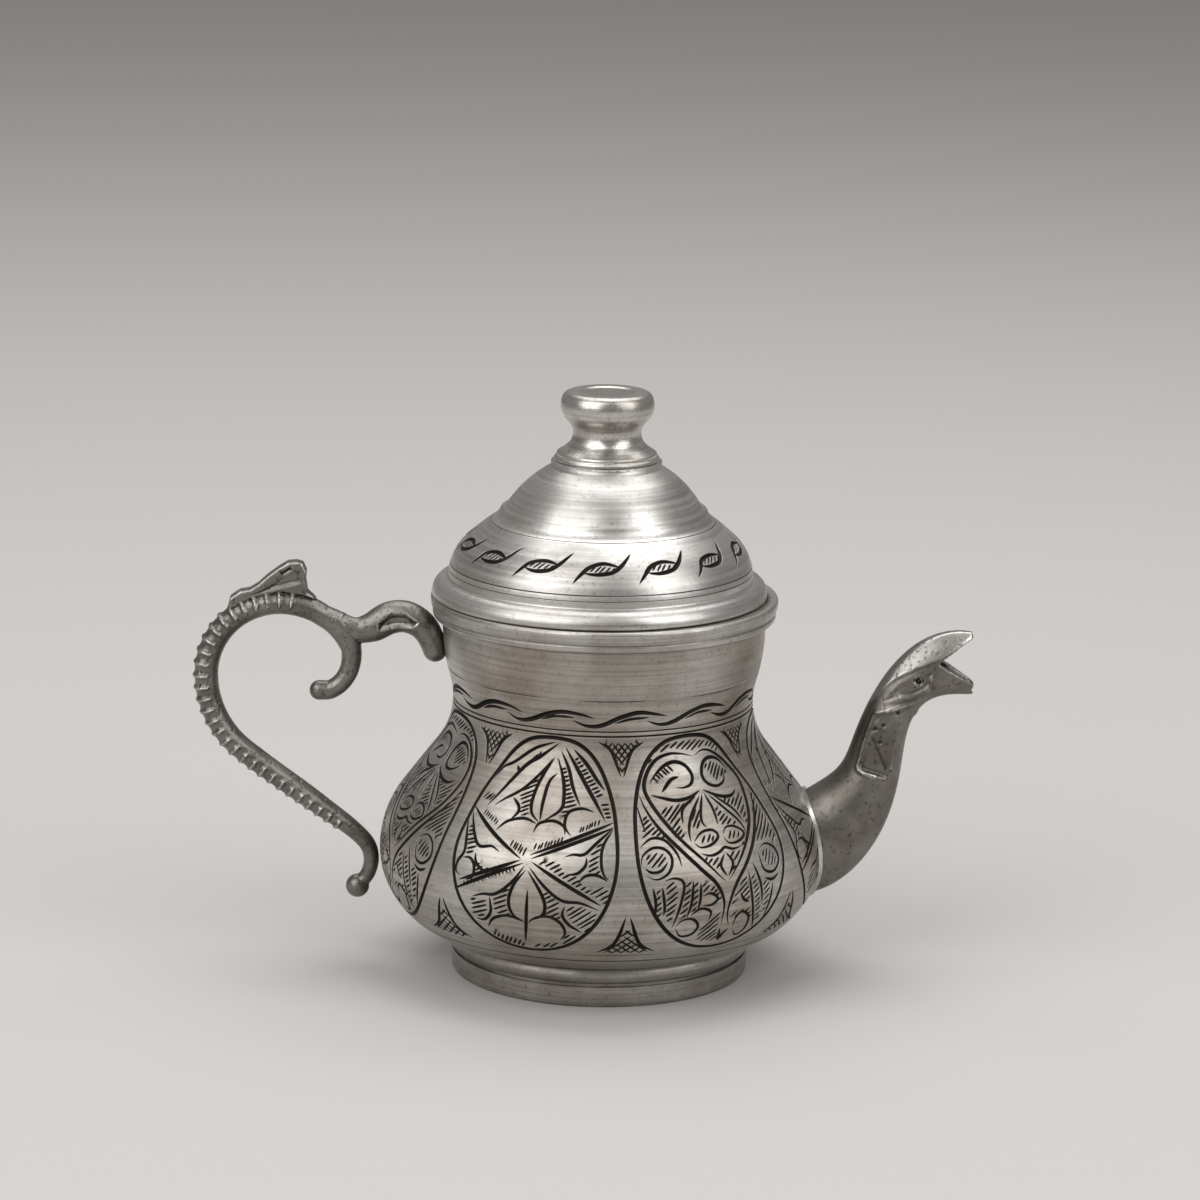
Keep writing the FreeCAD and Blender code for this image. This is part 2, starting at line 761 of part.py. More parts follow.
def bar_places():
    """Sections of the ribbed scroll and bar, then of the tail, and the tail ball's place."""
    low_x = bow_x - s.bow_radius + s.bow_low_radius
    bar_lean = 270 - s.bar_slope
    bar_x, bar_z = around(low_x, bow_z, s.bow_low_radius, bar_lean)
    run = cosine(s.bar_slope)
    fall = sine(s.bar_slope)
    touch_x = -(s.belly_radius - s.tail_seat + s.tail_depth / 2)
    bar_length = (touch_x - s.tail_radius * (1 - fall) - bar_x) / run
    bow_turn = 180 - s.bow_start
    low_turn = bar_lean - 180
    bow_arc = math.radians(bow_turn.number) * s.bow_radius.number
    low_arc = math.radians(low_turn.number) * s.bow_low_radius.number
    total = bow_arc + low_arc + bar_length.number
    count = 2 * round(total / s.rib_pitch.number)
    places = []
    for step in range(count + 1):
        along = total * step / count
        taper = 0
        if along <= bow_arc:
            lean = s.bow_start + bow_turn * (along / bow_arc)
            x, z = around(bow_x, bow_z, s.bow_radius, lean)
        elif along <= bow_arc + low_arc:
            lean = 180 + low_turn * ((along - bow_arc) / low_arc)
            x, z = around(low_x, bow_z, s.bow_low_radius, lean)
        else:
            lean = bar_lean
            taper = (along - bow_arc - low_arc) / bar_length.number
            x = bar_x + bar_length * run * taper
            z = bar_z - bar_length * fall * taper
        swell = s.rib_height / 2 if step % 2 else ON_AXIS
        x, z = around(x, z, swell, lean)
        depth = (s.handle_depth + (s.tail_depth - s.handle_depth) * taper) / 2 + swell
        width = (s.handle_width + (s.tail_width - s.handle_width) * taper) / 2 + swell
        places.append((x, z, lean, depth, width))
    tail_x = touch_x - s.tail_radius
    tail_z = bar_z - bar_length * fall - s.tail_radius * run
    first = 90 - s.bar_slope
    turn = first + s.tail_turn
    steps = math.ceil(turn.number / TURN_BETWEEN_SECTIONS)
    for step in range(1, steps + 1):
        angle = first - turn * (step / steps)
        x, z = around(tail_x, tail_z, s.tail_radius, angle)
        places.append((x, z, angle + 180, s.tail_depth / 2, s.tail_width / 2))
    end = (x + s.tail_length * sine(angle), z - s.tail_length * cosine(angle))
    places.append((*end, angle + 180, s.tail_depth / 2, s.tail_width / 2))
    return places, end


def curl_places():
    """Sections of the small curl, from inside the scroll's end round to its tip."""
    curl_x = -(neck_radius + s.curl_out)
    curl_z = mouth_height - s.curl_drop
    size = (s.curl_depth / 2, s.curl_width / 2)
    start = around(bow_x, bow_z, s.bow_radius, s.bow_start)
    places = [(*start, s.bow_start, *size)]
    steps = math.ceil(s.curl_turn.number / TURN_BETWEEN_SECTIONS)
    for step in range(steps + 1):
        angle = s.curl_start - s.curl_turn * (step / steps)
        places.append((*around(curl_x, curl_z, s.curl_radius, angle), angle, *size))
    return places


def arm_places():
    """Sections of the arm, from the scroll over the hump to the pad on the neck."""
    places = []
    for name in ARM_SECTIONS:
        out, up, lean, depth, width = (
            getattr(s, f"arm_{name}_{what}") for what in ("out", "up", "lean", "depth", "width"))
        places.append((-(neck_radius + out), mouth_height + up, lean, depth, width))
    return places


def make_handle():
    body = new_body("handle")
    bar, tail_end = bar_places()
    lofted(body, "AdditiveLoft", "Scroll", bar, ruled=True)
    ball(body, "TailBall", *tail_end, s.tail_ball)
    curl = curl_places()
    lofted(body, "AdditiveLoft", "Curl", curl)
    ball(body, "CurlBall", *curl[-1][:2], s.curl_ball)
    lofted(body, "AdditiveLoft", "Arm", arm_places())
    tip_x = -(neck_radius + s.crest_tip_out)
    tip_z = mouth_height + s.crest_tip_up
    rest = body.newObject("PartDesign::Pad", "Rest")
    rest.Profile = outline(body, "ThumbRest", [
        around(bow_x, bow_z, s.bow_radius, s.crest_base_end),
        (bow_x, bow_z + s.bow_radius),
        around(bow_x, bow_z, s.bow_radius, s.crest_base_start),
        (tip_x + s.crest_round, tip_z),
        (*around(tip_x, tip_z, s.crest_round, 90 + ARC_JOIN), s.crest_round, 1),
        (-(neck_radius + s.crest_back_out), mouth_height + s.crest_back_up),
        (-(neck_radius + s.crest_heel_out), mouth_height + s.crest_heel_up),
    ])
    rest.Midplane = True
    rest.setExpression("Length", s.crest_thick.formula)
    turned(body, "Groove", "Seated", outline(body, "Seat", filled_wall()))
    return body


pieces = [
    make_pot_body(),
    make_rim_ring(),
    make_foot_ring(),
    make_spout(),
    make_spout_solder(),
    make_handle(),
    make_lid_dome(),
    make_lid_collar(),
    make_lid_knob(),
    make_knob_washer(),
    make_knob_rivet(),
]

doc.recompute()
for item in doc.Objects:
    if "Invalid" in item.State or "Error" in item.State:
        raise RuntimeError(f"{item.Label} failed: {item.getStatusString()}")
for piece in pieces:
    shape = piece.Shape
    if shape.isNull() or not shape.isValid() or len(shape.Solids) != 1:
        raise RuntimeError(f"{piece.Label} is not one valid solid")
    box = shape.BoundBox
    print(f"{piece.Label}: {shape.Volume:.0f} mm3, height {box.ZMin:.2f} to {box.ZMax:.2f}")

os.makedirs("parts", exist_ok=True)
for piece in pieces:
    piece.Shape.exportStep(f"parts/{piece.Label}.step")
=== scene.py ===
import math
import random

import bmesh
import bpy
import numpy as np
from mathutils import Matrix, Vector, noise
from mathutils.geometry import delaunay_2d_cdt


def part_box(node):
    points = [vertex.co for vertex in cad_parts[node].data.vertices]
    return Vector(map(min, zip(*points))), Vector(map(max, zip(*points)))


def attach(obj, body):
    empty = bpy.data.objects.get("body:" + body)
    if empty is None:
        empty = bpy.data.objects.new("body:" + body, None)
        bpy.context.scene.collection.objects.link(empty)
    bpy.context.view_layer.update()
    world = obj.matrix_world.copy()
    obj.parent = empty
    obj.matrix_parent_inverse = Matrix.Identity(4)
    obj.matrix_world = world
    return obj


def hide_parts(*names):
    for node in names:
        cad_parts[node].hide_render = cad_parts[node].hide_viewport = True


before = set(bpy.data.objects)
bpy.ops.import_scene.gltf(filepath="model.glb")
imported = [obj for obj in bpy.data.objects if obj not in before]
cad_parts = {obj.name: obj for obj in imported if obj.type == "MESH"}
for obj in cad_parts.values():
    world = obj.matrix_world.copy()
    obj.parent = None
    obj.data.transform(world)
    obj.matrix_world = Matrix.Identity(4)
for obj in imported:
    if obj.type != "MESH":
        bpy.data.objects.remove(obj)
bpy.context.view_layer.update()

# Pot body
# A spun copper pot, tinned, with a round belly, a drawn-in waist and a short neck. Its wall is
# engraved with a burin: seven egg-shaped medallions, hatched corners and a band of waves.
# Outlines are in millimetres, and MM brings them into the frame's metres.
MM = 0.001
WELD = 0.002 * MM
ARC_STEP = 0.4
POT_WALL = 1.0
FLOOR_RADIUS = 29.5
FLOOR_HEIGHT = 8.65
BOWL_CURVE = 17.35
BELLY_RADIUS = 46.85
BELLY_CURVE = 21.0
BELLY_HEIGHT = FLOOR_HEIGHT + BOWL_CURVE
SHOULDER_SLOPE = 37.1
WAIST_RADIUS = 31.6
WAIST_CURVE = 16.7
NECK_FLARE = 2.3
NECK_CURVE = 38.0
MOUTH_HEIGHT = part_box("pot_body")[1].z / MM


def arc(radius, height, curve, start, end):
    """Points of an outline's arc, ARC_STEP apart, from one angle in degrees to another."""
    count = max(2, round(abs(math.radians(end - start)) * curve / ARC_STEP))
    angles = np.radians(np.linspace(start, end, count + 1))
    return [(radius + curve * math.cos(a), height + curve * math.sin(a)) for a in angles]


def pot_outline(offset):
    """The pot's wall from the floor's edge to the mouth, moved out by an offset."""
    slope = math.radians(SHOULDER_SLOPE)
    curves = BELLY_CURVE + WAIST_CURVE
    fall = BELLY_RADIUS - WAIST_RADIUS - curves * (1 - math.cos(slope))
    waist_height = BELLY_HEIGHT + curves * math.sin(slope) + fall / math.tan(slope)
    turn = math.acos(1 - NECK_FLARE / (WAIST_CURVE + NECK_CURVE))
    neck_height = waist_height + (WAIST_CURVE + NECK_CURVE) * math.sin(turn)
    neck_radius = WAIST_RADIUS + NECK_FLARE
    flare = math.degrees(turn)
    return (
        arc(FLOOR_RADIUS, BELLY_HEIGHT, BOWL_CURVE + offset, -90, 0)
        + arc(BELLY_RADIUS - BELLY_CURVE, BELLY_HEIGHT, BELLY_CURVE + offset, 0, SHOULDER_SLOPE)
        + arc(WAIST_RADIUS + WAIST_CURVE, waist_height, WAIST_CURVE - offset,
              180 + SHOULDER_SLOPE, 180 - flare)
        + arc(neck_radius - NECK_CURVE, neck_height, NECK_CURVE + offset, -flare, 0)
        + [(neck_radius + offset, MOUTH_HEIGHT)]
    )


SKIN_STEP = 1.25
SKIN_TURN = math.radians(24)


def run_along(line):
    """The distance of each point from the first, measured along a line."""
    return np.concatenate(([0], np.cumsum(np.hypot(*np.diff(line, axis=0).T))))


class Outline:
    """A turned outline, read by the distance along it from its first point."""

    def __init__(self, points):
        line = np.array(points)
        apart = np.hypot(*np.diff(line, axis=0).T) > 1e-6
        self.line = line[np.concatenate(([True], apart))]
        self.run = run_along(self.line)
        self.length = self.run[-1]
        self.slope = np.gradient(self.line, self.run, axis=0)

    def at(self, along):
        """Radius and height, and the two parts of the outward normal."""
        radius, height = (np.interp(along, self.run, self.line[:, i]) for i in (0, 1))
        out, up = (np.interp(along, self.run, self.slope[:, i]) for i in (0, 1))
        size = np.hypot(out, up)
        return radius, height, up / size, -out / size

    def along(self, height):
        """The distance along it at a height."""
        return float(np.interp(height, self.line[:, 1], self.run))

    def rows(self):
        """Distances along it for rows of points, closer together where it bends."""
        turn = np.unwrap(np.arctan2(*np.diff(self.line, axis=0).T[::-1]))
        bend = np.abs(np.diff(turn, prepend=turn[0])) + np.abs(np.diff(turn, append=turn[-1]))
        share = np.maximum(np.diff(self.run) / SKIN_STEP, bend / SKIN_TURN)
        effort = np.concatenate(([0], np.cumsum(share)))
        return np.interp(np.linspace(0, effort[-1], math.ceil(effort[-1]) + 1), effort, self.run)


def smooth_line(points, closed=False, step=0.8):
    """Even points on a smooth curve through a few chosen ones."""
    p = np.array(points, float)
    ends = (p[-1:], p[:2]) if closed else (2 * p[:1] - p[1:2], 2 * p[-1:] - p[-2:-1])
    p = np.vstack((ends[0], p, ends[1]))
    runs = []
    for a, b, c, d in zip(p, p[1:], p[2:], p[3:]):
        count = max(1, math.ceil(np.linalg.norm(c - b) / step))
        t = np.arange(count)[:, None] / count
        runs.append(0.5 * (2 * b + (c - a) * t + (2 * a - 5 * b + 4 * c - d) * t ** 2
                           + (3 * b - a - 3 * c + d) * t ** 3))
    return np.vstack(runs if closed else runs + [p[-2:-1]])


UNSTEADY = 0.12
LEVEL_SLIP = 0.1
REACH_SPREAD = (0.8, 1.05)
SWELL_POWER, SWELL_FULL = 0.6, 1.1
STROKE_STOPS = np.array([0, 0.15, 0.5, 0.85, 1])
STROKE_WIDTHS = np.array([0, 0.8, 1, 0.8, 0])
SHORTEST_STROKE = 0.7
HAIR_CUT = 0.5
GROUND_PITCH, GROUND_CUT = 0.95, 0.62
CUT_STEEPNESS = 0.65
CUT_CLEARANCE = 0.4
SAME_PLACE = 1e-4


class Burin:
    """Gathers the cuts of one engraved skin: each a line, its half widths and if it is closed."""

    def __init__(self, seed):
        self.cuts = []
        self.hand = random.Random(seed)
        self.place = lambda points: np.array(points, float)

    def shake(self):
        """A small slip of the hand, across and up."""
        return self.hand.uniform(-UNSTEADY, UNSTEADY), self.hand.uniform(-UNSTEADY, UNSTEADY)

    def line(self, points, width, closed=False, blunt=False):
        """A cut that swells in the middle and runs out at its ends, unless it is closed or blunt."""
        even = closed or blunt
        unsteady = np.add(points, [self.shake() for _ in points])
        path = smooth_line(self.place(points if even else unsteady), closed)
        half = np.full(len(path), width / 2)
        if not even:
            t = np.linspace(0, 1, len(path))
            half = half * np.minimum(1, np.sin(np.pi * t) ** SWELL_POWER * SWELL_FULL)
        self.cuts.append((path, half, closed))

    def lines(self, paths, width):
        for path in paths:
            self.line(path, width)

    def stroke(self, foot, tip, width):
        """One short straight cut that keeps its width nearly to its ends."""
        path = self.place(foot + (tip - foot) * STROKE_STOPS[:, None])
        self.cuts.append((path, STROKE_WIDTHS * width / 2, False))

    def hatch(self, start, end, reach, count, width=HAIR_CUT):
        """A row of short cuts between two points, each reaching out the same way."""
        a, b, out = (np.array(p, float) for p in (start, end, reach))
        for i in range(count):
            foot = a + (b - a) * (i + 0.5) / count + self.shake()
            self.stroke(foot, foot + out * self.hand.uniform(*REACH_SPREAD), width)

    def fill(self, corners, slant, pitch=GROUND_PITCH, width=GROUND_CUT):
        """Slanting cuts side by side, which darken the ground inside an outline."""
        turn = math.radians(slant)
        along = np.array([math.cos(turn), math.sin(turn)])
        across = np.array([-math.sin(turn), math.cos(turn)])
        outline = np.array(corners, float)
        levels = outline @ across
        sides = list(zip(outline, np.roll(outline, -1, axis=0), levels, np.roll(levels, -1)))
        for level in np.arange(levels.min() + pitch / 2, levels.max(), pitch):
            level += self.hand.uniform(-LEVEL_SLIP, LEVEL_SLIP)
            crossed = sorted(float((a + (b - a) * (level - low) / (high - low)) @ along)
                             for a, b, low, high in sides if (low > level) != (high > level))
            for start, end in zip(crossed[::2], crossed[1::2]):
                if end - start > SHORTEST_STROKE:
                    self.stroke(start * along + level * across, end * along + level * across, width)

    def fills(self, grounds):
        for corners, slant in grounds:
            self.fill(corners, slant)


def from_segment(to, along):
    """How far along a straight stretch each place lies, from 0 to 1, and its distance from it."""
    t = np.clip(to @ along / max(along @ along, 1e-9), 0, 1)
    return t, np.hypot(*(to - t[:, None] * along).T)


def cut_depth(places, cuts, stretch, reach=0.0):
    """How deep the cuts go at each place, and if a place lies in a cut or within reach of one."""
    order = np.argsort(places[:, 0])
    sorted_u = places[order, 0]
    depth = np.zeros(len(places))
    near = np.zeros(len(places), bool)
    for path, half, closed in cuts:
        margin = half.max() + reach
        side = margin / stretch(path[:, 1]).min()
        first, last = np.searchsorted(sorted_u, (path[:, 0].min() - side, path[:, 0].max() + side))
        chosen = order[first:last]
        v = places[chosen, 1]
        chosen = chosen[(v > path[:, 1].min() - margin) & (v < path[:, 1].max() + margin)]
        if not len(chosen):
            continue
        ends = np.vstack((path, path[:1])) if closed else path
        widths = np.append(half, half[0]) if closed else half
        for a, b, wide_a, wide_b in zip(ends, ends[1:], widths, widths[1:]):
            grow = np.array([float(stretch((a[1] + b[1]) / 2)), 1.0])
            t, gap = from_segment((places[chosen] - a) * grow, (b - a) * grow)
            wide = wide_a + (wide_b - wide_a) * t
            depth[chosen] = np.maximum(depth[chosen], (wide - gap) * CUT_STEEPNESS)
            near[chosen] |= gap < wide + reach
    return depth, near


def engraved_skin(outline, cuts, circle, seam, columns):
    """A turned skin with its cuts, as a bmesh. The plane u, v is the skin unrolled at a circle."""
    width = 2 * math.pi * circle

    def stretch(v):
        """How wide the skin really is at a row, for each unit of the unrolled plane."""
        return outline.at(v)[0] / circle

    across, up = np.linspace(0, width, columns + 1), outline.rows()
    grid = np.array([(u, v) for v in up for u in across])
    inner = (grid[:, 0] > 0) & (grid[:, 0] < width) & (grid[:, 1] > 0) & (grid[:, 1] < outline.length)
    places = [tuple(p) for p in grid[~inner]]
    near = cut_depth(grid, cuts, stretch, CUT_CLEARANCE)[1]
    places += [tuple(p) for p in grid[inner & ~near]]
    edges = []

    def chain(points, closed):
        start = len(places)
        places.extend(tuple(p) for p in points)
        edges.extend((i, i + 1) for i in range(start, len(places) - 1))
        if closed:
            edges.append((len(places) - 1, start))

    for path, half, closed in cuts:
        around = np.vstack((path[-1:], path, path[:1])) if closed else path
        heading = np.gradient(around, axis=0)
        heading = heading[1:-1] if closed else heading
        grow = np.stack((stretch(path[:, 1]), np.ones(len(path))), 1)
        heading = heading * grow
        heading /= np.maximum(np.hypot(*heading.T), 1e-9)[:, None]
        square = np.stack((-heading[:, 1], heading[:, 0]), 1) / grow
        for shift in (half, -half, 0 * half):
            chain(path + square * shift[:, None], closed)
    flat, _, faces, *_ = delaunay_2d_cdt([Vector(p) for p in places], edges, [], 0, SAME_PLACE, False)
    flat = np.array([tuple(p) for p in flat])
    depth = cut_depth(flat, cuts, stretch)[0]
    radius, height, out, rise = outline.at(flat[:, 1])
    angle = math.radians(seam) + flat[:, 0] / circle
    radius = (radius - depth * out) * MM
    height = (height - depth * rise) * MM
    skin = bmesh.new()
    groove = skin.verts.layers.float.new("groove")
    facing = skin.verts.layers.float_vector.new("turned")
    verts = []
    for i in range(len(flat)):
        sine, cosine = math.sin(angle[i]), math.cos(angle[i])
        vert = skin.verts.new((radius[i] * sine, -radius[i] * cosine, height[i]))
        vert[groove] = depth[i]
        vert[facing] = (out[i] * sine, -out[i] * cosine, rise[i])
        verts.append(vert)
    for face in faces:
        skin.faces.new([verts[i] for i in face])
    return skin


TURN_STEPS = 192


def turned(points, steps=TURN_STEPS, seam=0.0):
    """Turns an outline about the pot's axis."""
    angle = math.radians(seam)
    shape = bmesh.new()
    chain = [shape.verts.new((r * MM * math.sin(angle), -r * MM * math.cos(angle), z * MM))
             for r, z in points]
    edges = [shape.edges.new(pair) for pair in zip(chain, chain[1:])]
    bmesh.ops.spin(shape, geom=chain + edges, cent=(0, 0, 0), axis=(0, 0, 1), dvec=(0, 0, 0),
                   angle=2 * math.pi, steps=steps, use_merge=True)
    bmesh.ops.remove_doubles(shape, verts=shape.verts, dist=WELD)
    return shape


def to_mesh(name, shape):
    """Makes a bmesh into a mesh, and frees it."""
    mesh = bpy.data.meshes.new(name)
    shape.to_mesh(mesh)
    shape.free()
    return mesh


def join(skin, shape):
    """Takes another bmesh into this one and welds their open edges together."""
    passing = to_mesh("passing", shape)
    skin.from_mesh(passing)
    bpy.data.meshes.remove(passing)
    rims = [vert for vert in skin.verts if vert.is_boundary]
    bmesh.ops.remove_doubles(skin, verts=rims, dist=WELD)


def dress(mesh, finish):
    """Gives a mesh one material."""
    mesh.materials.clear()
    mesh.materials.append(finish)


def new_object(name, data):
    """Puts a mesh, a lamp or a camera into the scene."""
    item = bpy.data.objects.new(name, data)
    bpy.context.scene.collection.objects.link(item)
    return item


def new_piece(name, shape, body, node, finish):
    """Makes a bmesh or a mesh into a smooth piece that rides on a body and stands for a node."""
    if isinstance(shape, bmesh.types.BMesh):
        bmesh.ops.recalc_face_normals(shape, faces=shape.faces)
        shape = to_mesh(name, shape)
    shape.shade_smooth()
    dress(shape, finish)
    dress(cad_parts[node].data, finish)
    piece = new_object(name, shape)
    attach(piece, body)
    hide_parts(node)
    return piece


PLAIN_DEPTH = 0.01


def keep_turned_normals(mesh):
    """Plain skin shades as a true turned surface, and each cut as its own flat facets."""
    corners = np.zeros(len(mesh.loops), int)
    mesh.loops.foreach_get("vertex_index", corners)
    faces = np.zeros(len(mesh.loops), int)
    for polygon in mesh.polygons:
        faces[polygon.loop_start:polygon.loop_start + polygon.loop_total] = polygon.index

    def read(name, field):
        return np.array([getattr(item, field) for item in mesh.attributes[name].data], float)

    groove, facing = read("groove", "value"), read("turned", "vector")
    flat = np.array([tuple(p.normal) for p in mesh.polygons])
    soft = np.array([tuple(n.vector) for n in mesh.corner_normals])
    deep = np.zeros(len(mesh.polygons))
    np.maximum.at(deep, faces, groove[corners])
    skin = np.ones(len(mesh.polygons), bool)
    np.logical_and.at(skin, faces, np.hypot(*facing[corners].T[:2]) + abs(facing[corners][:, 2]) > 0.5)
    plain, cut = skin & (deep < PLAIN_DEPTH), skin & (deep >= PLAIN_DEPTH)
    normals = np.where(plain[faces][:, None], facing[corners], soft)
    normals = np.where(cut[faces][:, None], flat[faces], normals)
    mesh.normals_split_custom_set([tuple(n) for n in normals])


# Motifs of the two medallions, in millimetres across and up from the belly's widest circle
EGG_HALF_WIDTH = 18.9
EGG_LOW, EGG_HIGH = -11.4, 35.6
EGG_POINTS = 28
EGG_FOOT_POWER, EGG_TOP_POWER = 2.05, 2.6
STAR_MIDDLE, HEART_MIDDLE = -1.3, 2.0
BOLD_CUT = 0.95
SCROLL_CUT = 0.9
LEAF_CUT = 0.85
EDGE_CUT = 0.8
FINE_CUT = 0.75


def egg(middle):
    """An egg that is round below and squarer above, where the pot draws in."""
    centre, half = (EGG_LOW + EGG_HIGH) / 2, (EGG_HIGH - EGG_LOW) / 2
    points = []
    for step in range(EGG_POINTS):
        angle = 2 * math.pi * step / EGG_POINTS
        power = 2 / (EGG_TOP_POWER if math.sin(angle) > 0 else EGG_FOOT_POWER)
        x, y = math.cos(angle), math.sin(angle)
        points.append((middle + EGG_HALF_WIDTH * math.copysign(abs(x) ** power, x),
                       centre + half * math.copysign(abs(y) ** power, y)))
    return points


def star_medallion(burin):
    """Five rays from a heart low in the egg, with leaves and petals between them."""
    burin.line(egg(STAR_MIDDLE), BOLD_CUT, closed=True)
    rays = [
        [(-20, 18.8), (-12, 14), (-3.2, 8.8)],
        [(-19, 0.6), (-11, 4.6), (-2.6, 8.5)], [(-18, 2.6), (-10, 6.1), (-3.5, 9)],
        [(-1.2, 8.9), (8, 3.9), (14.6, 0.2)],
        [(-1.8, 10.1), (8, 14.4), (17.2, 18.1)], [(-1.4, 9.3), (8, 13.2), (17.3, 17.2)],
        [(1.2, 34.8), (-4.5, 31.6), (-10, 28.2), (-16.6, 18.9)],
        [(2.6, 34), (8, 28.2), (12, 23), (15.2, 18)],
        [(5.2, 33.8), (9.5, 30.6), (12.5, 27.4), (14.8, 25)],
    ]
    burin.lines(rays, BOLD_CUT)
    edges = [
        [(0.2, 34.8), (-7, 33), (-13, 29.5), (-16, 28), (-17.8, 25)],
        [(-11.8, 29.2), (-10.6, 27.6), (-11.4, 26.4)],
        [(-0.6, 31.6), (-4, 28), (-8, 23.9), (-12, 21.4), (-14.4, 19.4)],
        [(-19.6, 17.6), (-16.5, 13), (-14, 10.4), (-11, 10.8), (-8.6, 9.9)],
        [(-2.2, 8), (-5, 4), (-8.4, 1.3), (-11.4, 0.8), (-14.4, -0.2)],
        [(-1.6, 7.8), (2.4, 3.7), (6.2, 1.3), (10, 1), (14, -0.5)],
        [(17, 17), (13, 13.6), (10.4, 11), (8, 10.8), (5.8, 10.1)],
        [(1.4, 33.4), (4.4, 29.4), (6, 25.6), (8.8, 21.2)],
        [(16.9, 16.8), (14.4, 13), (14, 9.4), (14.6, 6.8), (16, 5.6)],
        [(-20, 16), (-18.2, 12), (-17.4, 8.6), (-18.6, 6.6), (-18.6, 4.4), (-17, 3.4)],
    ]
    burin.lines(edges, EDGE_CUT)
    leaves = [
        [(-0.2, 31.8), (-3.2, 27.6), (-4.2, 23), (-3.8, 19.4), (-0.9, 17.2)],
        [(0.6, 32), (3, 27), (3.9, 23), (3.5, 20.4), (-0.4, 17.4)],
        [(1.2, 28.6), (-0.8, 26.4), (-1.2, 22), (-0.9, 17.4)],
        [(-1.9, 7), (-4.5, 3.6), (-5.2, 0), (-4.4, -2.6), (-1.8, -3.9)],
        [(-1.7, 7), (1.4, 3.2), (2.6, 0), (1.8, -2.2), (-1, -3.7)],
        [(-1.2, 3.4), (-1.3, -1), (-1.6, -5), (-2.3, -9.6)],
    ]
    burin.lines(leaves, LEAF_CUT)
    petals = [
        [(-11.4, 14.2), (-9, 16.8), (-5, 17.9), (-1.4, 16.8)],
        [(-2, 14.6), (-1, 17), (2.4, 18), (5.2, 16.8), (5.6, 14.6)],
        [(7.3, 14.6), (5.3, 17), (5.8, 20), (9, 20.9), (12.6, 20.2)],
        [(-9.8, 22), (-7.4, 20.5), (-7.2, 18.8), (-8.6, 17.2)],
        [(-14.6, 9.2), (-14, 7), (-12.2, 5.8), (-10.2, 5)],
        [(-17.6, 7.4), (-15.6, 7.7), (-14.1, 6.2), (-14.2, 4), (-16, 3.1)],
        [(-10.8, -6.8), (-9, -4.3), (-6, -3), (-3, -3.6), (-1.7, -4.3)],
        [(-1.4, -4.3), (0.6, -2.8), (3.6, -2.4), (5.9, -3.7), (6.8, -6), (5.4, -8)],
        [(6.8, 0.4), (6.2, -1.6), (7.6, -3.8), (10.4, -5.6)],
        [(-9.6, 0.8), (-9.5, -2.6), (-11.4, -4.8), (-13.8, -4.8)],
        [(9.2, 4.8), (10.6, 6.5), (13, 6.9), (15.8, 5.2)],
        [(10.8, 10.6), (10.8, 8.6), (9, 6.9), (6.6, 6.8)],
    ]
    burin.lines(petals, EDGE_CUT)
    ground = [
        ([(-1.2, 30.6), (-4.6, 26.9), (-8.8, 23.2), (-6.8, 20.4), (-6.9, 18.6), (-4.6, 18.4), (-4.3, 23),
          (-3.3, 27.5)], 25),
        ([(1.5, 31.6), (4.3, 28.2), (5.8, 25), (8.2, 21.4), (5.8, 20.4), (5.2, 17.8), (3.8, 19.8), (4.2, 23),
          (3.2, 27)], 15),
        ([(4.6, 33.2), (9.2, 30), (12.4, 26.8), (14.4, 24.2), (12.6, 23.2), (8.4, 28.4)], 20),
        ([(13.2, 22.6), (15.8, 22.8), (16.4, 18.8), (15.2, 18.6)], 5),
        ([(-18.6, 15), (-17.2, 14), (-14.4, 10.6), (-15.2, 8.6), (-17, 8.4), (-17.9, 11.4)], 20),
        ([(-14.6, 10), (-14, 10.2), (-13.6, 7.4), (-11.8, 6.4), (-9.6, 6.4), (-13.6, 4.6), (-14, 6.4)], 35),
        ([(0.6, 8.8), (5.2, 9.4), (6.2, 7.2), (9.4, 6.4), (10, 5.2), (12.4, 3.4), (14.8, 4.6), (16.6, 3.4),
          (15.2, 0.8), (8, 4.6)], 30),
        ([(11.2, 10.4), (13.4, 13.2), (14.4, 14.4), (13.5, 9.4), (13.9, 7.2), (11.2, 7.2)], 30),
        ([(-2.6, 6.6), (-5.4, 3.2), (-8.4, 0.8), (-9.2, 0.4), (-9, -2.8), (-7.2, -3.2), (-5, -3), (-5.7, 0),
          (-4.9, 3.6)], 25),
        ([(-0.9, 6.3), (2.2, 3.4), (5.8, 1), (5.6, -1.8), (6.6, -3.4), (4.4, -2.4), (2, -2.6), (3, 0),
          (1.8, 3.2)], 30),
        ([(10.4, 0.4), (13.8, -1), (12.4, -4.4), (11, -5.6), (8, -3.8), (6.8, -1.8), (7.2, 0.2)], 35),
        ([(-10.8, -7.4), (-7.6, -9.9), (-2.9, -10.9), (-2.5, -8.8), (-6, -7.9)], 60),
        ([(-1.5, -10.7), (2.6, -10.4), (7.4, -8.4), (9.6, -6.2), (7.4, -6.2), (5.4, -8.4), (1, -9.2)], 40),
        ([(-14.4, -0.8), (-10.4, 0.3), (-10, -2.4), (-11.6, -4.4), (-14.4, -4.2)], 20),
    ]
    burin.fills(ground)
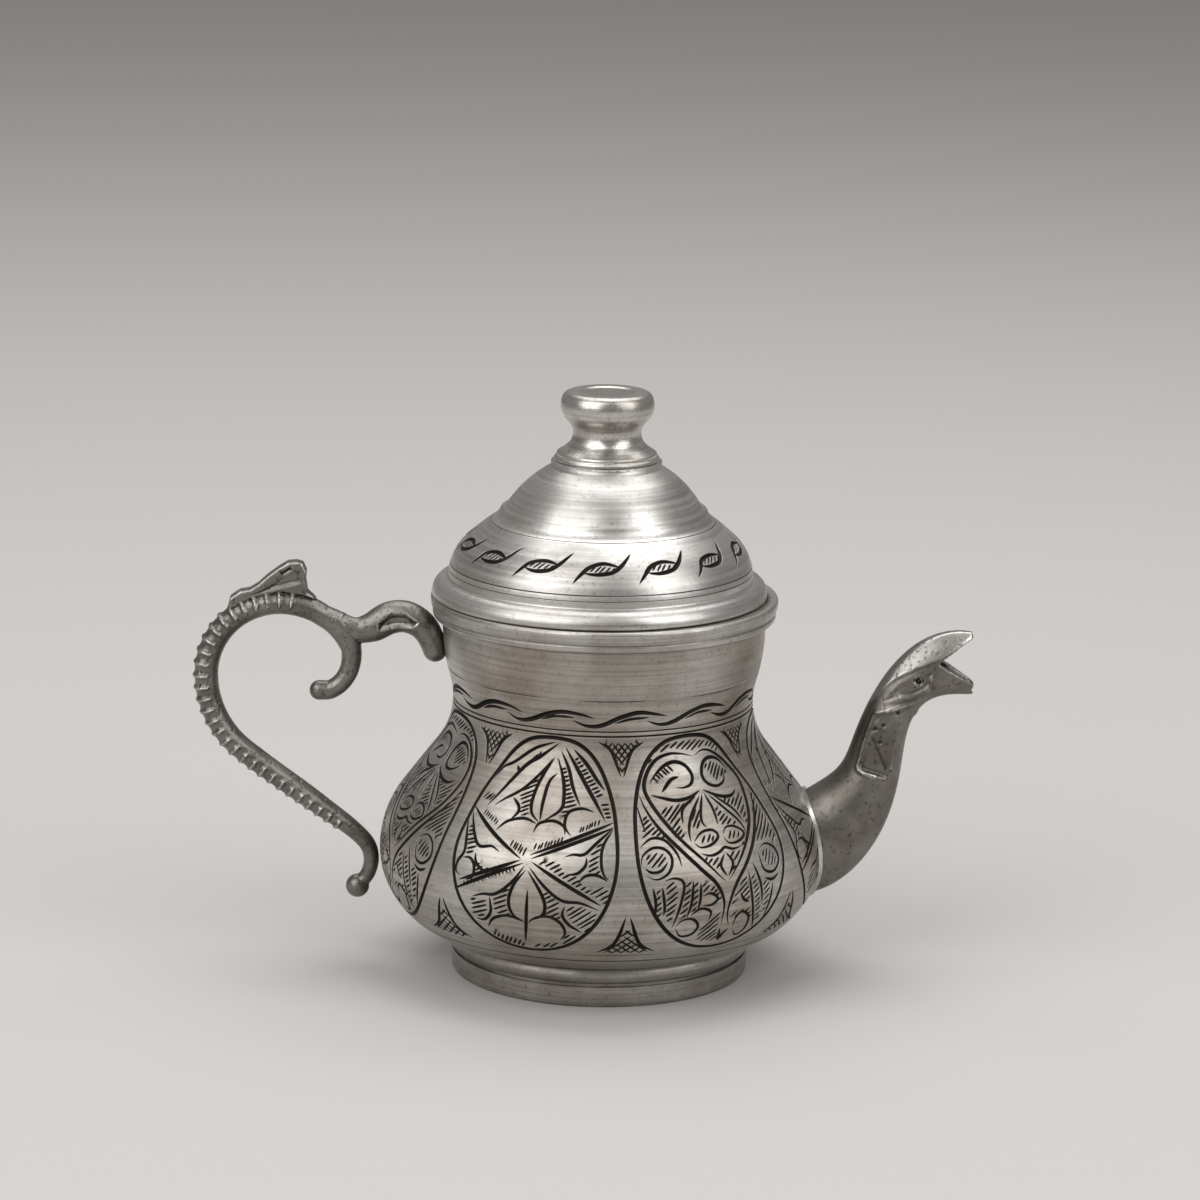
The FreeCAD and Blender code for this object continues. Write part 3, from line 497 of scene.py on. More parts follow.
    hatching = [
        ((-16.6, 2.6), (-4.6, 7.6), (0.5, -1), 15), ((-6.8, 11.6), (-3, 9.4), (0.6, 2), 6),
        ((-1.2, 11), (5.2, 13.2), (0.4, 1.6), 9), ((8.6, 15.4), (13.4, 17.6), (0.4, 1.5), 7),
        ((-16.4, 17.4), (-11.6, 15.4), (0.4, 1.3), 7), ((-18.8, 20.6), (-15.4, 20), (1.6, 2), 5),
        ((-9.4, 28.8), (-5, 31.6), (0.6, 1.2), 7),
    ]
    for start, end, reach, count in hatching:
        burin.hatch(start, end, reach, count)


def heart_medallion(burin):
    """A heart of ribbons with two scrolled lobes, crossing below over leaves and fruit."""
    burin.line(egg(HEART_MIDDLE), BOLD_CUT, closed=True)
    ribbons = [
        [(-15.2, 24.4), (-13.6, 20.6), (-11, 16.4), (-7, 11.4), (-3, 7), (0.2, 3.8), (1.9, 0.6),
         (2.2, -2), (1.8, -6)],
        [(3.9, 31.2), (0, 32), (-4, 32.4), (-8.4, 31.5), (-11.4, 29.2), (-13.2, 26), (-12.6, 23),
         (-10, 18.6), (-6, 13.1), (-2, 8.6), (1.5, 5), (3, 3.6)],
        [(3.9, 31.2), (7.4, 32.1), (11.4, 31.4), (15, 29), (17.2, 25.6), (17, 21.6), (14.4, 16.4),
         (10, 11), (6, 6.6), (3, 3.6)],
        [(19.4, 22.6), (17.6, 18), (13.6, 12.6), (9, 7.2), (5.6, 3.4), (4, 0.4), (3.2, -3), (4.2, -6.6)],
        [(1.8, -6), (2, -8.2), (2.2, -9.4), (3, -8), (4.2, -6.6)],
    ]
    burin.lines(ribbons, BOLD_CUT)
    scrolls = [
        [(-11.8, 26), (-9.6, 28), (-6.6, 30), (-3, 30.5), (0.2, 29.6), (1.7, 27.4), (0.8, 25.5),
         (-1.6, 24.8), (-4.6, 25.1)],
        [(-2.4, 27.4), (-5.2, 26.8), (-8.8, 24.2)],
        [(-12, 24), (-9, 23), (-5, 22.2), (-1, 22.6), (3, 24)],
        [(15.4, 26.4), (12.6, 29.6), (9.4, 30.4), (6.6, 29.4), (5, 27), (6, 24.8), (9, 24.2), (12, 25.2),
         (13.2, 27.2)],
        [(3.2, 24), (6, 22.5), (9, 21.6), (12, 21.4), (14.6, 22.6)],
    ]
    burin.lines(scrolls, SCROLL_CUT)
    leaves = [
        [(3.1, 23.2), (0.9, 19.4), (0.3, 17), (1.2, 15.3)], [(3.4, 23.2), (4.5, 19.2), (4.1, 15.5)],
        [(2.2, 23), (-2, 18.8), (-3.8, 15.4), (-4.2, 12.6)], [(1, 23), (-3.8, 20.2), (-5, 16.6)],
        [(4.4, 23), (8, 19), (10.6, 15.4), (11.2, 12.4)], [(6, 22.4), (10.4, 18.8), (12.2, 15.2)],
        [(-3.6, 12.8), (-1, 14.8), (2, 15), (3.3, 13.4), (1, 11.8), (-2, 11.6), (-3.6, 12.8)],
        [(4.3, 13.2), (6, 14.9), (8.6, 14.8), (10.4, 13), (8, 11.5), (5.5, 11.7), (4.3, 13.2)],
        [(-2.6, 10.4), (0, 9.6), (2.6, 10.2), (4, 10.9), (6, 10.2), (8.8, 10.6)],
        [(3.4, 9.8), (1.9, 7.2), (3.2, 4.8)], [(3.6, 9.8), (5, 7.4), (3.4, 4.8)],
        [(-16.4, 12.4), (-13.4, 14.4), (-10.2, 13.6), (-8, 10.6), (-7.2, 7.6)],
        [(-16.2, 8), (-15.8, 10.6), (-13.4, 12.2), (-10.6, 12), (-9.2, 9.8), (-10.2, 7), (-13, 5.8),
         (-15.6, 6.6)],
        [(-15.6, 8.2), (-14, 7.1), (-12, 7.4), (-10.2, 9.4)],
        [(-11.6, 5.2), (-9.2, 5.8), (-7.2, 4.4), (-8, 0), (-9.8, -5.2)],
        [(-13.9, 4.4), (-13.4, 0.6), (-13.6, -2.4)], [(-12, 4.2), (-11.4, 0), (-11.8, -2.2)],
        [(-5, 5.2), (-5.6, 0.4), (-6.6, -3)], [(-3.4, 4.6), (-3.6, 1), (-4.2, -1.4)],
        [(-9, -5), (-7.4, -3.2), (-5, -3.4), (-3.6, -5.2), (-5, -7), (-7.4, -7), (-9, -5)],
        [(-6, -2.6), (-3.4, -1.2), (-1, -2.2), (-1.6, -4.4)],
        [(-3.2, 1.4), (-1.2, 2), (0.6, 0.8), (-0.8, -0.6), (-3.4, -0.4)],
        [(8.6, 5.4), (9.4, 0.4), (10.4, -4.6), (11.4, -8.6)], [(10.2, 6.8), (11.8, 2), (12.6, -3)],
        [(5.2, -7), (5.4, -4.4), (7.2, -3.2), (9.2, -5), (8.8, -8), (7, -9.2), (5.2, -7)],
        [(6, 1.2), (7.4, -0.8), (8.8, -1.4)],
        [(12.6, 8.6), (15.4, 9.8), (18, 8.4), (18.6, 5.6), (16.4, 3.8), (13.4, 4.6), (12.6, 8.6)],
        [(13.2, 3), (15.6, 2.2), (18, 3)], [(15.6, 1.8), (15, -2), (13.6, -6.4)],
    ]
    burin.lines(leaves, FINE_CUT)
    burin.line([(-15.9, 22), (-15, 18), (-14.4, 15.2)], HAIR_CUT)
    ground = [
        ([(-12, 30.2), (-8.2, 32.5), (-4, 33.3), (3.9, 32.2), (7.4, 33), (11.6, 32.2), (15.4, 30.2),
          (12, 33.4), (6, 34.7), (-2, 34.7), (-8.6, 33.4)], 25),
        ([(-11.4, 26.8), (-8.6, 28.8), (-5.4, 30.2), (-3.4, 28.6), (-7.6, 27.2)], -40),
        ([(6.4, 28.8), (9.6, 29.8), (12.6, 28.8), (14.4, 26.6), (12.8, 26.2), (9, 25)], 40),
        ([(-10.6, 20.6), (-5, 21.6), (0, 22.2), (-4.4, 20), (-5.6, 16.8), (-4.8, 13.2), (-7.4, 14.8)], 40),
        ([(-2.6, 18), (1.6, 21.8), (0.3, 19), (-0.3, 17), (0.2, 15.6), (-2.8, 15.4)], 50),
        ([(5, 20.6), (9.6, 15.8), (9.2, 15.2), (4.8, 15.6)], 30),
        ([(7.4, 21.6), (12, 20.8), (16.2, 22), (14, 17), (12.6, 14.6), (12.6, 15.6), (10.6, 19)], 35),
        ([(-2.8, 9.4), (0, 9), (3, 9.2), (1.6, 7.2), (2.4, 5.2), (0.4, 6.9)], 40),
        ([(4.2, 9.8), (8, 9.8), (10, 11.8), (6.2, 7.4), (4.2, 5), (5.3, 7.4)], 40),
        ([(-2.6, 12.3), (0.8, 12.3), (2.4, 13.3), (1.6, 14.2), (-0.8, 14)], 50),
        ([(5.4, 12.3), (7.8, 12.2), (9.4, 13), (8.2, 14.1), (6.2, 14.2)], 50),
        ([(-15.4, 9), (-14.8, 10.4), (-13.2, 11.4), (-11, 11.4), (-10.2, 10), (-12.4, 8.2), (-14, 7.8)], 45),
        ([(-15.8, 13.6), (-14.4, 20.4), (-10.6, 15.4), (-8.6, 13), (-10.4, 14.3), (-13.4, 15)], 35),
        ([(-13.2, 3.8), (-12.4, 4), (-12, 0), (-12.4, -2.2), (-13.2, -2.2)], 40),
        ([(-11.2, 4.4), (-9.2, 5.2), (-8.2, 3.8), (-8.8, 0), (-10.4, -4.6), (-11.4, -2)], 35),
        ([(-6.8, 4), (-5.3, 5), (-5.9, 0.4), (-6.9, -2.8), (-8.4, -2.6), (-7.6, 0)], 35),
        ([(-5, 4.8), (-3.8, 4.6), (-4, 1), (-4.6, -1.4), (-5.8, -1.6), (-5.3, 0.4)], 35),
        ([(-3, 4.4), (0.2, 3.2), (1.5, 0.4), (0.8, 0.2), (-1, 2.4), (-3, 2)], 40),
        ([(-1, -3.2), (1.7, -1.4), (1.5, -6), (1.6, -9), (-3.6, -9.6), (-3.8, -7.2), (-3, -5)], 40),
        ([(4.4, 0.6), (8.2, 4.9), (9, 0.6), (8.4, -1), (6, 0.6), (4.9, -0.6), (3.8, -2.4)], 35),
        ([(4, -3.4), (8.6, -2.4), (9.9, -4.6), (9.4, -5.4), (7.2, -2.8), (5, -4.4)], 35),
        ([(9.4, 5), (11.4, 2), (12.2, -3), (11.4, -7.6), (10.8, -4.6), (9.8, 0.4)], 35),
        ([(12.4, 3), (15, 1.6), (14.6, -2), (13, -6), (13, -3)], 35),
        ([(13.4, 8), (15.4, 9), (17.4, 8), (17.9, 5.8), (16.2, 4.6), (14, 5.2)], 60),
        ([(15, 15.4), (17.2, 18), (19.6, 22), (20.2, 15), (19.2, 10), (16.4, 10.6), (12.6, 9.8)], 40),
    ]
    burin.fills(ground)


def corner_fillings(burin):
    """Hatched triangles between two medallions, above and below."""
    high_edge = [(7.2, 35.2), (3.2, 33.2), (0.2, 27.6)]
    low_edge = [(6.6, -11.2), (2.8, -8.4), (0.3, -1.6)]
    for edge, width in ((high_edge, EDGE_CUT), (low_edge, SCROLL_CUT)):
        for side in (-1, 1):
            burin.line([(side * x, y) for x, y in edge], width)
    high_ground = [(6, 35.1), (2.6, 32.8), (0.2, 28.6)]
    low_ground = [(5.8, -11.4), (2.4, -8.6), (0.6, -4.6)]
    for slant in (40, -40):
        for half, pitch, width in ((high_ground, 1.25, 0.55), (low_ground, 1.3, 0.6)):
            burin.fill(half + [(-x, y) for x, y in half[::-1]], slant, pitch, width)


MEDALLIONS = 7
FIRST_MEDALLION = -70.0
SEAM = FIRST_MEDALLION - 180 / MEDALLIONS
POT_COLUMNS = 240
CIRCLE_LENGTH = 2 * math.pi * BELLY_RADIUS
RING_LINES = ((36.3, 0.5), (37.3, 0.42), (-14.6, 0.5))
WAVES = 13
WAVE_LINE = 40.0
WAVE_START = 0.3
LONG_WAVE = ((-0.26, -0.3), (-0.06, -1.4), (0.14, -1.2), (0.4, 0.6), (0.62, 1.4), (0.86, 1.0), (1.06, 0.1))
SHORT_WAVE = ((0.3, -0.9), (0.52, 0.1), (0.8, 0.2))
LAST_WAVE = CIRCLE_LENGTH - 1
SCRATCHES = 9
SCRATCH_LINES = (44.2, -12.2)
SCRATCH_START = 0.1
SCRATCH_REACHES = (0, 14, 27)
SCRATCH_CUT = 0.3

pot_line = Outline(pot_outline(0))
belly_at = pot_line.along(BELLY_HEIGHT)
pot_burin = Burin(7)


def on_pot(medallion, middle=0.0):
    """Moves a motif's middle to a medallion's place, counted from the seam."""
    shift = (medallion + 0.5) / MEDALLIONS * CIRCLE_LENGTH - middle
    return lambda points: np.array(points, float) + (shift, belly_at)


for medallion in range(MEDALLIONS):
    if medallion % 2:
        pot_burin.place = on_pot(medallion, STAR_MIDDLE)
        star_medallion(pot_burin)
    else:
        pot_burin.place = on_pot(medallion, HEART_MIDDLE)
        heart_medallion(pot_burin)
    if medallion:
        pot_burin.place = on_pot(medallion - 0.5)
        corner_fillings(pot_burin)
pot_burin.place = lambda points: np.array(points, float) + (0, belly_at)
for height, width in RING_LINES:
    pot_burin.line([(0, height), (CIRCLE_LENGTH / 2, height), (CIRCLE_LENGTH, height)], width, blunt=True)
for wave in range(WAVES):
    for shape, width in ((LONG_WAVE, 1.15), (SHORT_WAVE, 0.7)):
        path = [((wave + WAVE_START + x) / WAVES * CIRCLE_LENGTH, WAVE_LINE + y) for x, y in shape]
        pot_burin.line([place for place in path if place[0] < LAST_WAVE], width)
for scratch in range(SCRATCHES):
    start = CIRCLE_LENGTH * (scratch + SCRATCH_START) / SCRATCHES
    for height in SCRATCH_LINES:
        pot_burin.line([(start + reach, height) for reach in SCRATCH_REACHES], SCRATCH_CUT)


class Shading:
    """Adds nodes to a shader tree. Each input is fed by a plain value or by another node's output."""

    def __init__(self, tree):
        self.tree = tree

    def add(self, kind, inputs, **settings):
        """Adds a node with its settings and inputs, and gives its outputs."""
        node = self.tree.nodes.new("ShaderNode" + kind)
        for key, value in settings.items():
            setattr(node, key, value)
        for key, value in inputs.items():
            if isinstance(value, bpy.types.NodeSocket):
                self.tree.links.new(value, node.inputs[key])
            else:
                node.inputs[key].default_value = value
        return node.outputs

    def clouds(self, place, scale, detail, rough):
        inputs = {"Vector": place, "Scale": scale, "Detail": detail, "Roughness": rough}
        return self.add("TexNoise", inputs)["Fac"]

    def ranged(self, value, before, after=(0.0, 1.0)):
        """Brings a value from one range into another."""
        inputs = {"Value": value, "From Min": before[0], "From Max": before[1]}
        inputs.update({"To Min": after[0], "To Max": after[1]})
        return self.add("MapRange", inputs)["Result"]

    def worked(self, operation, *values):
        return self.add("Math", dict(enumerate(values)), operation=operation)[0]

    def mixed(self, factor, first, second, blend="MIX"):
        """Mixes two colours, each three numbers or another node's output."""
        first, second = ((*c, 1) if isinstance(c, tuple) else c for c in (first, second))
        inputs = {"Factor": factor, 6: first, 7: second}
        return self.add("Mix", inputs, data_type="RGBA", blend_type=blend)[2]

    def attribute(self, name):
        return self.add("Attribute", {}, attribute_name=name)["Fac"]

    def metal(self, colour, rough, height, strength, distance):
        """Ends a material as bare metal with fine bumps."""
        bump = self.add("Bump", {"Strength": strength, "Distance": distance, "Height": height})["Normal"]
        inputs = {"Base Color": colour, "Metallic": 1.0, "Roughness": rough, "Normal": bump}
        self.add("OutputMaterial", {"Surface": self.add("BsdfPrincipled", inputs)["BSDF"]})


LATHE_STREAK = (16, 16, 1500)
BLUSH_SIZE = 105.0
GRAIN_SIZE = 1900.0


def make_metal_age():
    """Clouds of tarnish, small pits, lathe lines, copper showing through and grain, each as a mask."""
    group = bpy.data.node_groups.new("metal_age", "ShaderNodeTree")
    for label in ("Cloud Size", "Pit Size"):
        group.interface.new_socket(label, in_out="INPUT", socket_type="NodeSocketFloat")
    for label in ("Cloud", "Pits", "Lathe", "Blush", "Grain"):
        group.interface.new_socket(label, in_out="OUTPUT", socket_type="NodeSocketFloat")
    nodes = Shading(group)
    sizes = group.nodes.new("NodeGroupInput").outputs
    masks = group.nodes.new("NodeGroupOutput").inputs
    place = nodes.add("TexCoord", {})["Object"]
    streaks = nodes.add("Mapping", {"Vector": place, "Scale": LATHE_STREAK})["Vector"]
    cloud = nodes.clouds(place, sizes["Cloud Size"], detail=5.0, rough=0.6)
    pits = nodes.clouds(place, sizes["Pit Size"], detail=3.0, rough=0.55)
    blush = nodes.clouds(place, BLUSH_SIZE, detail=4.0, rough=0.65)
    group.links.new(nodes.ranged(cloud, (0.36, 0.66)), masks["Cloud"])
    group.links.new(nodes.ranged(pits, (0.42, 0.3)), masks["Pits"])
    group.links.new(nodes.ranged(blush, (0.66, 0.76)), masks["Blush"])
    group.links.new(nodes.clouds(streaks, 1.0, detail=4.0, rough=0.7), masks["Lathe"])
    group.links.new(nodes.clouds(place, GRAIN_SIZE, detail=4.0, rough=0.7), masks["Grain"])
    return group


metal_age = make_metal_age()
COPPER_BLUSH = (0.42, 0.27, 0.19)
BLUSH_SHARE = 0.5
PIT_DARK = (0.06, 0.05, 0.045)
CUT_DARK = (0.025, 0.022, 0.02)
CUT_ROUGH = 0.6


def new_finish(name, cloud_size, pit_size):
    """An empty material, with what adds its nodes and the masks of its age."""
    finish = bpy.data.materials.new(name)
    finish.use_nodes = True
    finish.node_tree.nodes.clear()
    nodes = Shading(finish.node_tree)
    sizes = {"Cloud Size": cloud_size, "Pit Size": pit_size}
    return finish, nodes, nodes.add("Group", sizes, node_tree=metal_age)


def new_metal(name, bright, dull, rough, cloud_size, pit_size, lathe, pits, grooved=False):
    """A worn metal: two tones in clouds, copper blushes, lathe lines, pits and dark cuts."""
    finish, nodes, age = new_finish(name, cloud_size, pit_size)
    tone = nodes.mixed(age["Cloud"], dull, bright)
    blush = nodes.mixed(nodes.worked("MULTIPLY", age["Blush"], BLUSH_SHARE), tone, COPPER_BLUSH)
    streak = nodes.ranged(age["Lathe"], (0.3, 0.66), (0.62, 1.15))
    lined = nodes.mixed(lathe, blush, streak, "MULTIPLY")
    colour = nodes.mixed(nodes.worked("MULTIPLY", age["Pits"], pits), lined, PIT_DARK)
    roughness = nodes.ranged(age["Cloud"], (0, 1), (rough[1], rough[0]))
    if grooved:
        dark = nodes.ranged(nodes.attribute("groove"), (0.005, 0.06))
        colour = nodes.mixed(dark, colour, CUT_DARK)
        roughness = nodes.add("Mix", {"Factor": dark, 2: roughness, 3: CUT_ROUGH}, data_type="FLOAT")[0]
    height = nodes.worked("MULTIPLY_ADD", age["Lathe"], lathe, age["Grain"])
    nodes.metal(colour, roughness, height, strength=0.22, distance=0.00016)
    return finish


pot_tin = new_metal("pot_tin", bright=(0.5, 0.48, 0.45), dull=(0.32, 0.28, 0.24), rough=(0.36, 0.5),
                    cloud_size=48.0, pit_size=1100.0, lathe=0.85, pits=0.3, grooved=True)
pot_skin = engraved_skin(pot_line, pot_burin.cuts, BELLY_RADIUS, SEAM, POT_COLUMNS)
lining = [pot_outline(0)[-1]] + pot_outline(-POT_WALL)[::-1] + [(0, FLOOR_HEIGHT + POT_WALL)]
join(pot_skin, turned(lining, POT_COLUMNS, SEAM))
join(pot_skin, turned([(0, FLOOR_HEIGHT), (FLOOR_RADIUS, FLOOR_HEIGHT)], POT_COLUMNS, SEAM))
pot = new_piece("engraved_pot", pot_skin, "pot", "pot_body", pot_tin)
keep_turned_normals(pot.data)

# Rim ring
# A thick band of tinned copper soldered round the mouth. It is turned with a bead above and a shallow
# line below, and flat on top, where the lid rests.
LONGEST_ROUNDING = 0.48


def rounded(corners):
    """An outline with rounded corners, each given as radius, height and rounding."""
    points = [corners[0][:2]]
    for before, here, after in zip(corners, corners[1:], corners[2:]):
        corner = Vector(here[:2])
        back, onward = Vector(before[:2]) - corner, Vector(after[:2]) - corner
        reach = min(here[2], LONGEST_ROUNDING * min(back.length, onward.length))
        start, end = corner + reach * back.normalized(), corner + reach * onward.normalized()
        for t in (0, 0.25, 0.5, 0.75, 1):
            points.append(tuple((1 - t) ** 2 * start + 2 * t * (1 - t) * corner + t * t * end))
    return points + [corners[-1][:2]]


RIM_INSIDE, RIM_LOW, RIM_HIGH = 33.95, 76.35, 80.99
rim_line = rounded([
    (RIM_INSIDE, RIM_LOW, 0), (35.5, RIM_LOW, 0.3), (36.0, 76.9, 0.3), (36.05, 77.8, 0.1),
    (35.8, 78.0, 0.1), (36.05, 78.2, 0.1), (36.45, 79.2, 0.5), (36.5, 80.5, 0.4),
    (36.1, RIM_HIGH, 0.25), (RIM_INSIDE, RIM_HIGH, 0), (RIM_INSIDE, RIM_LOW, 0)])
rim_tin = new_metal("rim_tin", bright=(0.54, 0.52, 0.49), dull=(0.36, 0.335, 0.31), rough=(0.32, 0.46),
                    cloud_size=90.0, pit_size=1100.0, lathe=1.0, pits=0.3)
new_piece("turned_rim", turned(rim_line), "pot", "rim_ring", rim_tin)

# Foot ring
# A stepped ring of copper, turned, tinned and soldered under the belly, on which the pot stands. The
# frame's own solid is shown, in a finish a little darker than the pot's.
foot_tin = new_metal("foot_tin", bright=(0.45, 0.425, 0.395), dull=(0.29, 0.265, 0.24), rough=(0.34, 0.5),
                     cloud_size=80.0, pit_size=1100.0, lathe=1.0, pits=0.4)
dress(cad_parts["foot_ring"].data, foot_tin)

# Spout
# A hollow casting of dark metal, soldered to the belly: a smooth bulb, a neck with a flat panel let
# into each cheek, and a serpent's head with a plated crown, ridged jaws and drilled eyes.
CAST_WELD = 0.001 * MM
FLANK_START, FLANK_FADE = 0.35, 0.3
WEAR_AND_HIGHLIGHT_START, WEAR_AND_HIGHLIGHT_SPAN = 0.24, 0.4
DIRT_START, DIRT_SPAN = 0.05, 0.3
BROAD_SPACING, BROAD_SHARE = 4.5, 0.1


def fine_skin(name, shape, grain):
    """A bmesh's closed form as an even skin of small faces, which can be chased and pitted."""
    bmesh.ops.remove_doubles(shape, verts=shape.verts, dist=CAST_WELD)
    form = new_object(name, to_mesh(name, shape))
    remesh = form.modifiers.new("Skin", "REMESH")
    remesh.mode = "VOXEL"
    remesh.voxel_size = grain * MM
    soften = form.modifiers.new("Soften", "SMOOTH")
    soften.factor, soften.iterations = 0.5, 3
    skin = bpy.data.meshes.new_from_object(form.evaluated_get(bpy.context.evaluated_depsgraph_get()))
    bpy.data.objects.remove(form)
    skin.name = name
    return skin


class Casting:
    """A fine skin whose points are pushed in and out along their normals, in millimetres."""

    def __init__(self, name, shape, grain):
        self.mesh, self.grain = fine_skin(name, shape, grain), grain
        self.places, self.normals = self.read("co") / MM, self.read("normal")
        self.side = self.places[:, [0, 2]]
        self.push, self.polish_and_highlight = np.zeros(len(self.side)), np.zeros(len(self.side))

    def read(self, field):
        values = np.empty(len(self.mesh.vertices) * 3)
        self.mesh.vertices.foreach_get(field, values)
        return values.reshape(-1, 3)

    def away(self, line):
        """Each point's distance, in the side view, from a line of chosen points."""
        path = smooth_line(line)
        nearest = np.full(len(self.side), 1e9)
        for a, b in zip(path, path[1:]):
            nearest = np.minimum(nearest, from_segment(self.side - a, b - a)[1])
        return nearest

    def within(self, corners):
        """How far each point lies inside an outline in the side view, and below zero outside it."""
        path = np.array(corners, float)
        nearest, odd = np.full(len(self.side), 1e9), np.zeros(len(self.side), bool)
        for a, b in zip(path, np.roll(path, -1, axis=0)):
            to, along = self.side - a, b - a
            nearest = np.minimum(nearest, from_segment(to, along)[1])
            spans = (a[1] > self.side[:, 1]) != (b[1] > self.side[:, 1])
            odd ^= spans & (to[:, 0] < along[0] * to[:, 1] / (along[1] or 1e-9))
        return np.where(odd, nearest, -nearest)

    def flanks(self):
        """One on the faces that look sideways, fading to nothing on the edges between them."""
        return np.clip((np.abs(self.normals[:, 1]) - FLANK_START) / FLANK_FADE, 0, 1)

    def ridge(self, line, width, height):
        """Raises a soft ridge along a line on both flanks, or cuts one where the height is below zero."""
        self.push += height * np.exp(-(self.away(line) / width) ** 2) * self.flanks()

    def sink(self, corners, edge, depth):
        """Lets a flat recess into both flanks, inside an outline with a soft edge."""
        self.push -= depth * np.clip(self.within(corners) / edge, 0, 1) * self.flanks()

    def pit(self, spacing, depth, share):
        """Small pits and a gently uneven skin, as a sand casting has."""
        for i, place in enumerate(self.places):
            fine = noise.noise(Vector(place) / spacing)
            broad = noise.noise(Vector(place) / (spacing * BROAD_SPACING))
            self.push[i] -= depth * (max(0.0, fine - share) / (1 - share) - BROAD_SHARE * broad)

    def finish(self):
        """Moves the points, and keeps how worn each one is, which also paints a highlight on raised places,
        and how choked with dirt each one is.
        """
        mesh, count = self.mesh, len(self.push)
        self.places += self.normals * self.push[:, None]
        mesh.vertices.foreach_set("co", (self.places * MM).ravel())
        mesh.update()
        ends = np.empty(len(mesh.edges) * 2, np.int32)
        mesh.edges.foreach_get("vertices", ends)
        a, b = ends.reshape(-1, 2).T
        near = np.bincount(a, minlength=count) + np.bincount(b, minlength=count)

        def neighbours(values):
            return (np.bincount(a, values[b], count) + np.bincount(b, values[a], count)) / near

        middle = np.stack([neighbours(self.places[:, i]) for i in range(3)], 1)
        bulge = np.einsum("ij,ij->i", self.places - middle, self.read("normal")) / self.grain ** 2
        for _ in range(3):
            bulge = 0.5 * bulge + 0.5 * neighbours(bulge)
        # Raised places are brightened, partly as wear and partly as a painted highlight, as on the handle's
        # ribs.
        wear_and_highlight = (bulge - WEAR_AND_HIGHLIGHT_START) / WEAR_AND_HIGHLIGHT_SPAN + self.polish_and_highlight
        dirt = (-bulge - DIRT_START) / DIRT_SPAN
        for name, value in (("wear_and_highlight", wear_and_highlight), ("dirt", dirt)):
            mesh.attributes.new(name, "FLOAT", "POINT").data.foreach_set("value", np.clip(value, 0, 1))


CASTING_CLOUDS = 120.0
CASTING_PITS = 0.7
CASTING_PIT_DARK = (0.045, 0.04, 0.035)
DIRT_DARK = (0.04, 0.035, 0.03)
WORN_SMOOTH = 0.65


def new_casting(name, bright, dull, dark, rough, pit_size):
    """A dark cast metal: bright where it is worn and where a highlight is painted on raised places, dirty
    where it is hollow, with pits.
    """
    finish, nodes, age = new_finish(name, CASTING_CLOUDS, pit_size)
    wear_and_highlight = nodes.attribute("wear_and_highlight")
    # Painted highlight, partly wear: raised places take the bright colour.
    wear_and_highlight_tone = nodes.mixed(wear_and_highlight, nodes.mixed(age["Cloud"], dark, dull), bright)
    specks = nodes.worked("MULTIPLY", age["Pits"], CASTING_PITS)
    pitted = nodes.mixed(specks, wear_and_highlight_tone, CASTING_PIT_DARK)
    colour = nodes.mixed(nodes.attribute("dirt"), pitted, DIRT_DARK)
    roughness = nodes.ranged(wear_and_highlight, (0, 1), (rough, rough * WORN_SMOOTH))
    height = nodes.worked("SUBTRACT", age["Grain"], age["Pits"])
    nodes.metal(colour, roughness, height, strength=0.25, distance=0.00018)
    return finish


def bead(shape, x, z, deep, wide):
    """A round end in the side view, with half sizes in that view and across it."""
    place = Matrix.Translation((x * MM, 0, z * MM)) @ Matrix.Diagonal((deep * MM, wide * MM, deep * MM, 1))
    bmesh.ops.create_icosphere(shape, subdivisions=4, radius=1, matrix=place)


SPOUT_GRAIN = 0.3
CROWN = [(56.6, 58.4), (58.6, 61.4), (61.5, 64.1), (66, 66.7), (70.8, 68.8), (79, 73.4), (79, 80), (60, 80),
         (50, 62)]
PLATE_EDGE, PLATE_HEIGHT, PLATE_POLISH_AND_HIGHLIGHT = 0.35, 0.32, 0.8
CHEEK = [(58.6, 59.4), (62, 63.2), (66.5, 65.6), (69.4, 66.6), (68.8, 63.4), (65.2, 60.8)]
EYE = [(66.2, 63.9), (66.4, 64.1)]
EYE_DEPTH, EYE_RADIUS = 0.9, 0.75
CHIN = [(65.2, 57.0), (65.4, 57.0)]
CHIN_HEIGHT, CHIN_RADIUS = 0.5, 0.9
PANEL_DOTS = ((62.1, 57.0), (59.0, 54.4), (57.2, 53.6), (58.3, 50.7))

spout_form = bmesh.new()
spout_form.from_mesh(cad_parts["spout"].data)
bead(spout_form, 76.8, 62.55, deep=1.28, wide=2.0)
spout = Casting("serpent_spout", spout_form, SPOUT_GRAIN)
plated = np.clip(spout.within(CROWN) / PLATE_EDGE, 0, 1)
spout.push += PLATE_HEIGHT * plated * spout.flanks()
# The crown plate is brightened, partly as polish and partly as a painted highlight.
spout.polish_and_highlight += PLATE_POLISH_AND_HIGHLIGHT * plated
spout.ridge([(57.6, 57), (61.5, 58.2), (65.5, 59.8), (68.6, 62.4)], width=0.55, height=0.5)
spout.ridge([(62.4, 60.6), (65.4, 61.2), (68, 62.6), (68.8, 65)], width=0.4, height=0.3)
spout.sink(CHEEK, edge=0.6, depth=0.3)
spout.push -= EYE_DEPTH * np.clip(1.1 - spout.away(EYE) / EYE_RADIUS, 0, 1) * spout.flanks()
spout.ridge([(56.8, 51.6), (58.4, 48.2), (59.8, 45)], width=0.28, height=-0.3)
for x, z in PANEL_DOTS:
    spout.ridge([(x, z), (x + 0.05, z)], width=0.42, height=-0.55)
spout.ridge([(54, 44.9), (55.6, 44), (57.4, 43.6)], width=0.5, height=0.35)
